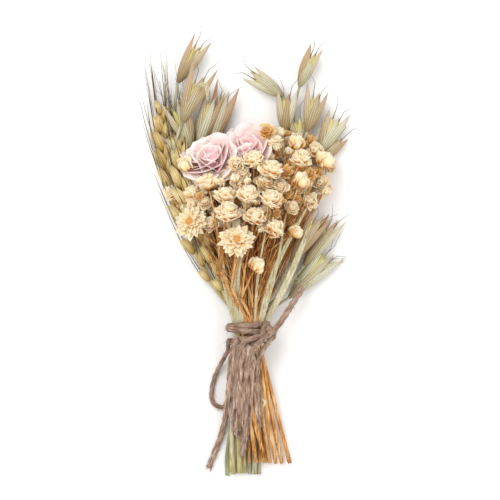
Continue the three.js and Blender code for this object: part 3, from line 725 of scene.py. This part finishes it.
# ------------------------------------------------------------------ stems
GOLDEN_BARK = -0.00015  # the shrunken skin of a golden stem, against its full size
OAT_BARK = 0.0002
FOOT_BARK = 0.0003  # a golden stem swells by so much towards its cut end
FOOT_FADE = 0.02


def make_stem(node, material, bark, foot_bark):
    """A stem's own skin, moved out by bark, and by foot_bark more at its foot."""
    bm = merged(node)
    bm.normal_update()
    for vert, normal in [(vert, vert.normal.copy()) for vert in bm.verts]:
        foot = min(1, max(0, (tie_middle.y - vert.co.y) / FOOT_FADE - 0.3))
        vert.co += normal * (bark + foot_bark * foot)
    show_solid(node + "_bark", bm, material, [node])


def make_stems(golden_look, oat_look):
    for node in node_names("cream_stem") + node_names("pink_stem"):
        make_stem(node, golden_look, GOLDEN_BARK, FOOT_BARK)
    for node in node_names("oat_stem"):
        make_stem(node, oat_look, OAT_BARK, 0)


# ------------------------------------------------------------------ petals and husks
def new_petals():
    """A bmesh with the values that papery surfaces are coloured by."""
    bm = bmesh.new()
    for name in ("along", "edge", "tint"):
        bm.verts.layers.float.new(name)
    return bm


def petal_mesh(name, columns, rows, outline, cup, curl, arch=0.0):
    """A petal one unit long, rooted at the origin and growing along +Y. outline(t) is its
    half width; cup lifts its sides, curl lifts its tip and arch lifts its middle."""
    bm = new_petals()
    bmesh.ops.create_grid(bm, x_segments=columns, y_segments=rows, size=0.5)
    along = bm.verts.layers.float.get("along")
    edge = bm.verts.layers.float.get("edge")
    for vert in bm.verts:
        side = vert.co.x * 2
        t = vert.co.y + 0.5
        half = outline(t)
        lift = cup * side * side * half + curl * t * t + arch * math.sin(math.pi * t)
        vert[along] = t
        vert[edge] = side
        vert.co = (side * half, t, lift)
    return as_mesh(name, bm)


def round_outline(t):
    return 0.08 + 0.42 * math.sin(math.pi * min(1, 0.06 + 0.8 * t)) ** 0.7


def pointed_outline(t):
    return 0.06 + 0.44 * math.sin(math.pi * min(1, 0.1 + 0.9 * t)) ** 0.9


def head_matrix(place, heading):
    """Turns +Z to a heading and puts the origin at a place."""
    side = UP.cross(heading)
    side = side.normalized() if side.length > SAME_PLACE else Vector((1, 0, 0))
    above = heading.cross(side)
    turn = Matrix((side, above, heading)).transposed().to_4x4()
    return Matrix.Translation(place) @ turn


def stamp(bm, template, matrix, tint):
    """Adds a copy of a template mesh at a place, with a tint of its own."""
    copy = template.copy()
    copy.transform(matrix)
    copy.attributes["tint"].data.foreach_set("value", [tint] * len(copy.vertices))
    bm.from_mesh(copy)
    bpy.data.meshes.remove(copy)


def petal_row(bm, template, head, count, root, rise, lift, size, chance, turn, stray):
    """A ring of petals round a head's axis. root and rise place their feet, lift is their
    slope in degrees, size is their width, length and depth, turn shifts them round by so many
    petals, and stray is how uneven they are."""
    for k in range(count):
        around = 2 * math.pi * (k + turn) / count + chance.uniform(-0.12, 0.12) * stray
        slope = math.radians(lift + chance.uniform(-7, 7) * stray)
        grow = 1 + chance.uniform(-0.12, 0.1) * stray
        place = Matrix.Rotation(around, 4, "Z") @ Matrix.Translation((0, root, rise))
        roll = chance.uniform(-0.25, 0.25) * stray
        tilt = Matrix.Rotation(slope, 4, "X") @ Matrix.Rotation(roll, 4, "Y")
        scale = Matrix.Diagonal((size[0] * grow, size[1] * grow, size[2] * grow, 1))
        stamp(bm, template, head @ place @ tilt @ scale, chance.random())


# Rows of a head, outermost first: count, foot from the axis, foot up the head, slope in
# degrees, half width, length and depth. All but the count and slope are shares of the radius.
DAISY_ROWS = [
    (9, 0.10, 0.10, 20, 0.42, 0.50, 0.5),
    (22, 0.18, 0.50, 0, 0.22, 0.84, 0.4),
    (20, 0.17, 0.55, 12, 0.21, 0.80, 0.4),
    (18, 0.15, 0.60, 26, 0.20, 0.70, 0.4),
    (14, 0.12, 0.62, 42, 0.18, 0.56, 0.4),
]
POMPON_ROWS = [
    (10, 0.16, 0.06, 16, 0.36, 0.72, 0.7),
    (13, 0.22, 0.24, 24, 0.36, 0.80, 0.7),
    (13, 0.22, 0.38, 40, 0.36, 0.80, 0.7),
    (12, 0.18, 0.50, 54, 0.34, 0.74, 0.7),
    (9, 0.13, 0.60, 68, 0.32, 0.66, 0.7),
    (6, 0.07, 0.66, 80, 0.28, 0.56, 0.7),
]
BUD_ROWS = [
    (7, 0.20, 0.05, 50, 0.58, 0.62, 1.0),
    (8, 0.36, 0.20, 62, 0.62, 0.80, 1.2),
    (7, 0.30, 0.34, 74, 0.60, 0.80, 1.2),
    (5, 0.18, 0.44, 84, 0.52, 0.76, 1.0),
    (3, 0.08, 0.5, 90, 0.4, 0.7, 0.8),
]
PINK_ROWS = [
    (9, 0.14, 0.22, 8, 0.70, 0.90, 0.6),
    (8, 0.14, 0.30, 20, 0.70, 0.84, 0.6),
    (7, 0.12, 0.38, 36, 0.60, 0.72, 0.6),
    (6, 0.08, 0.42, 52, 0.46, 0.54, 0.6),
]
SPENT_ROWS = [
    (11, 0.14, 0.10, 34, 0.30, 0.84, 0.5),
    (10, 0.14, 0.26, 50, 0.30, 0.88, 0.5),
    (8, 0.10, 0.38, 66, 0.28, 0.84, 0.5),
    (5, 0.05, 0.46, 80, 0.24, 0.7, 0.5),
]

PETAL_WALL = 0.0001
FLORETS = 34
GOLDEN_ANGLE = 2.39996
STRAYS = {"pink": 2.8, "daisy": 1.4}  # how uneven a head's petals are
OTHER_STRAYS = (1.6, 3.0)


def head_centre(bm, template, head, radius, height, chance):
    """A cushion of short florets on top of the receptacle."""
    for k in range(FLORETS):
        share = math.sqrt((k + 0.5) / FLORETS)
        around = k * GOLDEN_ANGLE
        lean = math.radians(90 - 55 * share)
        place = Matrix.Rotation(around, 4, "Z") @ Matrix.Translation((0, radius * share, height))
        scale = Matrix.Diagonal((radius * 0.34, radius * 0.55, radius * 0.3, 1))
        stamp(bm, template, head @ place @ Matrix.Rotation(lean, 4, "X") @ scale, chance.random())


def receptacle(bm, head, radius):
    """The solid cup that the petals grow from."""
    cup = bmesh.ops.create_uvsphere(bm, u_segments=10, v_segments=6, radius=1)
    scale = Matrix.Diagonal((radius * 0.42, radius * 0.42, radius * 0.42, 1))
    matrix = head @ Matrix.Translation((0, 0, radius * 0.4)) @ scale
    bmesh.ops.transform(bm, matrix=matrix, verts=cup["verts"])
    along = bm.verts.layers.float.get("along")
    for vert in cup["verts"]:
        vert[along] = 0.15


def rows_of_petals(bm, template, head, rows, radius, chance, stray):
    for i, (count, root, rise, lift, width, length, depth) in enumerate(rows):
        size = (width * radius * 2, length * radius, depth * radius)
        petal_row(bm, template, head, count, root * radius, rise * radius, lift, size, chance,
                  0.5 * (i % 2), stray)


def make_head(name, base, heading, radius, style, templates, looks, seed, nodes=()):
    """A flower head, and in an open one the florets in its middle."""
    chance = random.Random(seed)
    head = head_matrix(base, heading)
    rows, template = templates[style]
    bm = new_petals()
    receptacle(bm, head, radius)
    stray = STRAYS.get(style, chance.uniform(*OTHER_STRAYS))
    rows_of_petals(bm, template, head, rows, radius, chance, stray)
    slot = "pink_petals" if style == "pink" else "cream_petals"
    look = looks[{"pink": "pink", "spent": "floret"}.get(style, "cream")]
    show_sheets(name, bm, PETAL_WALL, look, nodes)
    if style in ("daisy", "pink"):
        bm = new_petals()
        height = (0.66 if style == "daisy" else 0.50) * radius
        head_centre(bm, templates["floret"], head, radius * 0.27, height, chance)
        show_sheets(name + "_centre", bm, PETAL_WALL, looks["floret"])


def make_templates():
    broad = petal_mesh("broad_petal", 3, 4, round_outline, 0.5, 0.22)
    narrow = petal_mesh("narrow_petal", 2, 5, pointed_outline, 0.35, 0.02, 0.08)
    closed = petal_mesh("closed_petal", 3, 4, round_outline, 0.5, 0.45)
    pink = petal_mesh("pink_petal_shape", 4, 6, round_outline, 0.35, 0.3)
    floret = petal_mesh("floret_shape", 2, 2, pointed_outline, 0.9, 0.3)
    return {"daisy": (DAISY_ROWS, narrow), "pompon": (POMPON_ROWS, broad),
            "bud": (BUD_ROWS, closed), "pink": (PINK_ROWS, pink), "spent": (SPENT_ROWS, narrow),
            "floret": floret}


HEAD_SIDES = 8
DAISY_RADIUS = 0.006
BUD_RADIUS = 0.0044
CREAM_GROWTH = 1.3  # papery petals reach past the head's solid part
PINK_GROWTH = 1.5
FACE_UP = 0.9  # how far the open heads are turned to the sky


def make_heads(templates, looks):
    """The frame's own heads. Returns the middle and radius of each."""
    placed = []
    for seed, node in enumerate(node_names("cream_head")):
        base, tip, radius = ends_of(node, HEAD_SIDES)
        heading = (tip - base).normalized()
        style = "daisy" if radius > DAISY_RADIUS else "bud" if radius < BUD_RADIUS else "pompon"
        if style == "daisy":
            middle = (base + tip) / 2
            heading = (heading + UP * FACE_UP).normalized()
            base = middle - heading * radius * 0.6
        make_head(node + "_petals", base, heading, radius * CREAM_GROWTH, style, templates, looks,
                  seed, [node])
        placed.append((base + heading * radius * 0.8, radius))
    for seed, node in enumerate(node_names("pink_head")):
        base, tip, radius = ends_of(node, HEAD_SIDES)
        heading = ((tip - base).normalized() + UP * FACE_UP * 0.5).normalized()
        make_head(node + "_petals", base, heading, radius * PINK_GROWTH, "pink", templates, looks,
                  60 + seed, [node])
        placed.append((base + heading * radius * 0.9, radius * 1.7))
    return placed


# ------------------------------------------------------------------ the heads in between
CANOPY_MIDDLE = (2, 76)  # from the tie, in millimetres like the other lengths here
CANOPY_REACH = (41, 25)
CANOPY_TURN = math.radians(13)
DOME_TOP = 32
DOME_MIDDLE = 70
DOME_REACH = (44, 34)
DOME_DROP = (20, 9)  # how far the dome falls at its reach, across and along the bunch
DOME_DEPTH = 14
LOWEST_HEAD = 6
SMALL_HEADS = 130
SMALL_RADIUS = (2.4, 4.8)
POMPON_RADIUS = 3.4
GAP_TRIES = 9000
CLOSENESS = 0.68  # the least distance between two heads, over their radii together
STALK_RADIUS = 0.42
SPENT_SIDE = 18
SPENT_SHARES = (0.22, 0.55)  # how many small heads are spent, before and past that x


def canopy_place(chance):
    """A random place in the oval canopy, a little below its domed top."""
    around = chance.uniform(0, 2 * math.pi)
    out = math.sqrt(chance.random())
    a = CANOPY_REACH[0] * out * math.cos(around)
    b = CANOPY_REACH[1] * out * math.sin(around)
    x = CANOPY_MIDDLE[0] + a * math.cos(CANOPY_TURN) - b * math.sin(CANOPY_TURN)
    y = CANOPY_MIDDLE[1] + a * math.sin(CANOPY_TURN) + b * math.cos(CANOPY_TURN)
    dome = DOME_TOP - DOME_DROP[0] * (x / DOME_REACH[0]) ** 2
    dome -= DOME_DROP[1] * ((y - DOME_MIDDLE) / DOME_REACH[1]) ** 2
    z = max(LOWEST_HEAD, dome - chance.uniform(0, DOME_DEPTH))
    return from_tie(x * MM, y * MM, z * MM)


def find_gaps(taken, chance):
    """Places between the heads there are, with a radius for each."""
    gaps = []
    for _ in range(GAP_TRIES):
        if len(gaps) == SMALL_HEADS:
            break
        place = canopy_place(chance)
        radius = chance.uniform(*SMALL_RADIUS) * MM
        if all((place - other).length > CLOSENESS * (radius + reach) for other, reach in taken + gaps):
            gaps.append((place, radius))
    return gaps


def small_head_style(aside, radius, chance):
    if chance.random() < SPENT_SHARES[aside.x > SPENT_SIDE * MM]:
        return "spent"
    return "pompon" if radius > POMPON_RADIUS * MM else "bud"


def stalk_line(aside, base, heading, chance):
    """The way of a small head's stalk, from inside the tie to the head's base."""
    across = max(-5 * MM, min(5 * MM, aside.x * 0.1 + chance.uniform(-2, 2) * MM))
    root = from_tie(across, -1 * MM, chance.uniform(7, 13) * MM)
    above_tie = root + Vector((across * 0.3, 8 * MM, 1.5 * MM))
    bend = root.lerp(base, 0.62) - UP * 2 * MM
    below = lift_clear(base - heading * 3 * MM, 2 * MM)
    return smooth_line([root, above_tie, bend, below, base + heading * 0.3 * MM], 0.003)


def make_small_heads(taken, templates, looks, golden_look):
    chance = random.Random(12)
    stalks = []
    for seed, (middle, radius) in enumerate(find_gaps(taken, chance)):
        aside = middle - tie_base
        outward = Vector((aside.x, aside.y - 30 * MM, 0)).normalized()
        heading = (outward * chance.uniform(0.3, 1.0) + UP).normalized()
        base = middle - heading * radius * 0.8
        style = small_head_style(aside, radius, chance)
        name = f"small_head_{seed + 1:02d}"
        make_head(name, base, heading, radius * 1.15, style, templates, looks, 200 + seed)
        stalks.append((stalk_line(aside, base, heading, chance), 0.6))
    show_threads("small_head_stalks", stalks, STALK_RADIUS * MM, golden_look, 2)


# ------------------------------------------------------------------ wheat
HUSK_SPACING = 0.0053
HUSK_SIZE = (5.6, 13.4, 5.2)  # millimetres wide, long and deep
HUSK_CLEAR = 0.0032  # the least height of a husk's own axis
AWN_LIMIT = 0.0572  # the awns stay within this much of the middle, in x
STRAW_RADIUS = 0.00135
STRAW_SIDES = 12
EAR_RADIUS = 0.002  # a stalk's rings are wider than this in the ear
TIP_RINGS = 2
HUSK_ROLLS = (-0.9, 0.0, 0.9)  # where the three husks of a step sit round the ear


def husk_mesh():
    """A plump pointed husk one unit long with a keel, growing along +Y."""
    bm = new_petals()
    bmesh.ops.create_uvsphere(bm, u_segments=10, v_segments=8, radius=1)
    along = bm.verts.layers.float.get("along")
    edge = bm.verts.layers.float.get("edge")
    for vert in bm.verts:
        t = (vert.co.z + 1) / 2
        angle = math.atan2(vert.co.y, vert.co.x)
        radius = 0.0 if t in (0.0, 1.0) else 0.5 * math.sin(math.pi * t ** 0.75) ** 0.75
        keel = 1 + 0.16 * max(0, math.sin(angle)) ** 6
        vert[along] = t
        vert[edge] = math.cos(angle)
        vert.co = (math.cos(angle) * radius, t, math.sin(angle) * radius * keel * 0.8)
    return as_mesh("husk_shape", bm)


def along_matrix(place, heading, facing, size):
    """Turns +Y to a heading with +Z towards facing, scaled by width, length and depth."""
    side = heading.cross(facing).normalized()
    above = side.cross(heading)
    turn = Matrix((side, heading, above)).transposed().to_4x4()
    return Matrix.Translation(place) @ turn @ Matrix.Diagonal((*size, 1))


def wheat_awn(tip, heading, facing, across, chance):
    """A long awn that runs on from a husk's tip."""
    length = chance.uniform(14, 34) * MM
    drift = (heading + facing * chance.uniform(-0.02, 0.09)).normalized()
    bend = tip + drift * length * 0.5
    end = bend + (drift + across * chance.uniform(-0.06, 0.06)).normalized() * length * 0.5
    end.x = max(end.x, -AWN_LIMIT)
    return [lift_clear(place, 0.3 * MM) for place in (tip, bend, end)]


def fill_ear(bm, husk, line, chance):
    """Sets three husks at each step of an ear, to its left and right in turn. Returns the
    awns."""
    awns = []
    for k, (centre, (heading, side)) in enumerate(zip(line, carry_frames(line))):
        share = k / len(line)
        swell = min(1, 0.62 + 1.6 * share) * min(1, 0.55 + 1.7 * (1 - share))
        hand = 1 if k % 2 else -1
        across = (side - UP * side.dot(UP)).normalized() * hand
        above = side.cross(heading) * (1 if side.cross(heading).z > 0 else -1)
        size = tuple(measure * MM * swell for measure in HUSK_SIZE)
        for roll in HUSK_ROLLS:
            facing = (across * math.cos(roll) + above * math.sin(roll)).normalized()
            splay = math.radians(chance.uniform(15, 23))
            aim = (heading * math.cos(splay) + facing * math.sin(splay)).normalized()
            root = lift_clear(centre + facing * 0.9 * MM * swell, HUSK_CLEAR)
            dip = HUSK_CLEAR - (root + aim * size[1]).z
            aim = (aim + UP * max(0, dip) / size[1]).normalized()
            stamp(bm, husk, along_matrix(root, aim, facing, size), chance.random())
            tip = root + aim * size[1] * 0.96
            awns.append((wheat_awn(tip, heading, facing, across, chance), 0.25))
    return awns


def make_wheat(husk, looks):
    for seed, node in enumerate(node_names("wheat_stalk")):
        rings = ring_centres(node)[:-TIP_RINGS]
        straw_line = [centre for centre, _ in rings]
        bm = bmesh.new()
        sweep(bm, straw_line, [min(width, STRAW_RADIUS) for _, width in rings], STRAW_SIDES)
        show_solid(node + "_straw", bm, looks["wheat_straw"], [node])
        ear_start = next(k for k, (_, width) in enumerate(rings) if width > EAR_RADIUS and k > 3)
        line = smooth_line(straw_line[ear_start:], HUSK_SPACING)
        bm = new_petals()
        awns = fill_ear(bm, husk, line, random.Random(300 + seed))
        round_off(show_solid(node + "_husks", bm, looks["husk"]))
        dark = [awn for i, awn in enumerate(awns) if i % 3 != seed % 3]
        pale = [awn for i, awn in enumerate(awns) if i % 3 == seed % 3]
        show_threads(node + "_dark_awns", dark, 0.22 * MM, looks["dark_awn"], 0)
        show_threads(node + "_pale_awns", pale, 0.24 * MM, looks["pale_awn"], 0)


# ------------------------------------------------------------------ oats
SPIKELET_SIDES = 7
SPIKELET_WIDTH = 1.5  # a spikelet's open width, over the radius of its solid part
FOOT_OVERLAP = 0.0015  # the glumes clasp the end of their branch by this much
HUSK_WALL = 0.00012
GLUME_HANDS = (-1.1, 1.1, 0.25)  # the side each glume leans to, and how far


def boat_mesh(name, wrap):
    """A thin curved husk one unit long, rooted at the origin, its back towards +Z. wrap is how
    far round its sides reach."""
    bm = new_petals()
    bmesh.ops.create_grid(bm, x_segments=6, y_segments=8, size=0.5)
    along = bm.verts.layers.float.get("along")
    edge = bm.verts.layers.float.get("edge")
    for vert in bm.verts:
        side = vert.co.x * 2
        t = vert.co.y + 0.5
        half = 0.5 * math.sin(math.pi * (0.015 + 0.985 * t) ** 0.8) ** 0.95 + 0.01
        angle = side * wrap
        vert[along] = t
        vert[edge] = side
        lift = half * (math.cos(angle) - math.cos(wrap)) * 1.1 + 0.02 * math.sin(math.pi * t)
        vert.co = (half * math.sin(angle) / math.sin(wrap), t, lift)
    return as_mesh(name, bm)


def turned(heading, degrees):
    return Matrix.Rotation(math.radians(degrees), 3, "Z") @ heading


def splayed(heading, across, angle):
    return (heading * math.cos(angle) + across * math.sin(angle)).normalized()


def oat_awn(root, aim, aside, chance):
    """A dark awn with a knee, bent to one side."""
    knee = root + aim * chance.uniform(7, 11) * MM
    swing = (aim + aside * chance.uniform(0.3, 0.8)).normalized()
    end = knee + swing * chance.uniform(5, 9) * MM
    end.x = min(end.x, AWN_LIMIT)
    return [lift_clear(place, 0.4 * MM) for place in (root, knee, end)]


def oat_spikelet(parts, shapes, base, tip, width, chance):
    """Open papery glumes round two shorter lemmas with bent awns."""
    heading = (tip - base).normalized()
    across = heading.cross(UP).normalized()
    above = across.cross(heading)
    length = (tip - base).length
    opening = chance.uniform(7, 13)
    for hand in GLUME_HANDS:
        aim = splayed(heading, across, math.radians(opening) * hand)
        roll = math.radians(chance.uniform(28, 60))
        facing = (across * hand * math.cos(roll) + above * math.sin(roll)).normalized()
        long = length * (1.08 - 0.14 * (abs(hand) < 1)) * chance.uniform(0.9, 1.04)
        size = (width * chance.uniform(0.9, 1.15), long, width)
        root = base - above * 0.8 * MM * (abs(hand) > 1) - heading * FOOT_OVERLAP
        stamp(parts["husks"], shapes["glume"], along_matrix(root, aim, facing, size), chance.random())
    for hand in (-1, 1):
        aim = splayed(heading, across, math.radians(opening * 0.5) * hand)
        size = (width * 0.62, length * chance.uniform(0.72, 0.84), width * 0.62)
        root = base + heading * 1.5 * MM
        facing = above + across * hand * 0.5
        stamp(parts["lemmas"], shapes["lemma"], along_matrix(root, aim, facing, size), chance.random())
        awn_root = root + aim * size[1] * 0.7 + above * 0.6 * MM
        parts["awns"].append((oat_awn(awn_root, aim, across * hand, chance), 0.3))


def companions(base, tip, chance):
    """Smaller spikelets that hang on the same branch, on one side or on neither."""
    heading = (tip - base).normalized()
    length = (tip - base).length
    for hand in chance.choice(((-1,), (), (1,), ())):
        aim = turned(heading, hand * chance.uniform(13, 27))
        foot = base - heading * chance.uniform(3, 10) * MM - UP * chance.uniform(1.5, 4) * MM
        foot = lift_clear(foot + turned(heading, 90 * hand) * 1.5 * MM, 4 * MM)
        yield foot, lift_clear(foot + aim * length * chance.uniform(0.78, 0.95), 4.5 * MM)


def make_oats(looks):
    shapes = {"glume": boat_mesh("glume_shape", 1.25), "lemma": boat_mesh("lemma_shape", 1.4)}
    for seed, node in enumerate(node_names("oat_spikelet")):
        chance = random.Random(400 + seed)
        base, tip, radius = ends_of(node, SPIKELET_SIDES)
        width = radius * SPIKELET_WIDTH
        parts = {"husks": new_petals(), "lemmas": new_petals(), "awns": []}
        branch = base - (tip - base).normalized() * 9 * MM
        twigs = []
        oat_spikelet(parts, shapes, base, tip, width, chance)
        for foot, end in companions(base, tip, chance):
            oat_spikelet(parts, shapes, foot, end, width, chance)
            twigs.append(([lift_clear(branch, 1 * MM), foot.lerp(branch, 0.3), foot], 0.7))
        glumes = show_sheets(node + "_glumes", parts["husks"], HUSK_WALL, looks["glume"],
                             [node])
        round_off(glumes)
        show_sheets(node + "_lemmas", parts["lemmas"], HUSK_WALL, looks["lemma"])
        show_threads(node + "_awns", parts["awns"], 0.2 * MM, looks["dark_awn"])
        if twigs:
            show_threads(node + "_twigs", twigs, 0.4 * MM, looks["oat_straw"], 2)


# ------------------------------------------------------------------ leaves
# Sheaths and torn blades: foot, middle and tip from the tie, and the half width; millimetres.
BLADES = [
    ((-3, -2, 10), (-6, 27, 24), (-2, 44, 27), 2.5),
    ((-5, -2, 10), (-12, 29, 20), (-15, 47, 20), 1.7),
    ((4, -2, 10), (13, 31, 22), (29, 62, 20), 1.4),
    ((5, -2, 9), (21, 29, 17), (34, 62, 13), 1.8),
    ((5, -2, 11), (14, 32, 23), (19, 60, 23), 0.8),
    ((3, -2, 11), (5, 29, 24), (9, 52, 27), 0.7),
    ((-6, -10, 13), (-8, -42, 8), (-9, -71, 5), 1.0),
    ((-25, 123, 20), (-21, 124, 23), (-20, 116, 20), 1.3),
    ((6.5, -33, 12.5), (8.8, -35, 14), (7.4, -38, 12.5), 0.8),
]
LEAF_STEP = 0.003
LEAF_SIDES = 12
PEDICELS = 70
PEDICEL_RADIUS = 0.00026


def folded(angle, distance):
    """A flat strip's section: thin, with a slight fold along its middle."""
    return max(0.12, abs(math.cos(angle)))


def make_leaf(leaf_look):
    rings = ring_centres("grass_leaf")[1:-1]
    line = smooth_line([centre for centre, _ in rings], LEAF_STEP)
    widths = [width for _, width in rings]
    radii = [widths[round(k / (len(line) - 1) * (len(widths) - 1))] for k in range(len(line))]
    bm = bmesh.new()
    sweep(bm, line, radii, LEAF_SIDES, folded)
    show_solid("grass_leaf_blade", bm, leaf_look, ["grass_leaf"])


def make_blades(sheath_look):
    """The pale sheaths and torn leaf blades between the stems, and two loose bits."""
    bm = bmesh.new()
    for foot, middle, tip, half in BLADES:
        places = [from_tie(*[number * MM for number in place]) for place in (foot, middle, tip)]
        line = smooth_line(places, LEAF_STEP)
        radii = []
        for k in range(len(line)):
            t = k / (len(line) - 1)
            radii.append(half * MM * (0.25 + 0.75 * math.sin(math.pi * (0.15 + 0.82 * t))))
        sweep(bm, line, radii, LEAF_SIDES, folded)
    show_solid("leaf_sheaths", bm, sheath_look)


def make_pedicels(golden_look):
    """Hair-thin branches that fan out under the heads."""
    chance = random.Random(31)
    lines = []
    for _ in range(PEDICELS):
        tip = canopy_place(chance) - UP * 2 * MM
        aside = tip - tie_base
        foot = from_tie(aside.x * chance.uniform(0.1, 0.5), aside.y * chance.uniform(0.2, 0.55), 0)
        foot.z = (17 + 60 * (foot.y - tie_base.y)) * MM + chance.uniform(0, 5) * MM
        sway = Vector((chance.uniform(-2, 2), chance.uniform(-2, 2), 1)) * MM
        lines.append((smooth_line([foot, foot.lerp(tip, 0.5) + sway, tip], 0.004), 0.6))
    show_threads("pedicels", lines, PEDICEL_RADIUS, golden_look)


# ------------------------------------------------------------------ floor
def lay_floor():
    bm = bmesh.new()
    bmesh.ops.create_grid(bm, x_segments=1, y_segments=1, size=1.5)
    floor = bpy.data.objects.new("floor", as_mesh("floor", bm))
    floor.data.materials.append(pale_floor())
    bpy.context.collection.objects.link(floor)


place_camera()
light_studio()
twine_look = jute()
fibre_look = jute_fibre()
make_free_twine(twine_look, fibre_look)
make_turns(twine_look, fibre_look)
make_knot(twine_look, fibre_look)
make_loose_jute(fibre_look)
golden_look = golden_stem()
oat_look = oat_straw()
make_stems(golden_look, oat_look)
head_looks = {"cream": cream_petal(), "pink": pink_petal(), "floret": cream_floret()}
head_shapes = make_templates()
taken = make_heads(head_shapes, head_looks)
make_small_heads(taken, head_shapes, head_looks, golden_look)
dark_look = dark_awn()
make_wheat(husk_mesh(), {"wheat_straw": wheat_straw(), "husk": wheat_husk(), "dark_awn": dark_look,
                         "pale_awn": pale_awn()})
make_oats({"glume": oat_glume(), "lemma": oat_lemma(), "dark_awn": dark_look,
           "oat_straw": oat_look})
make_leaf(dry_leaf())
make_blades(pale_sheath())
make_pedicels(golden_look)
lay_floor()
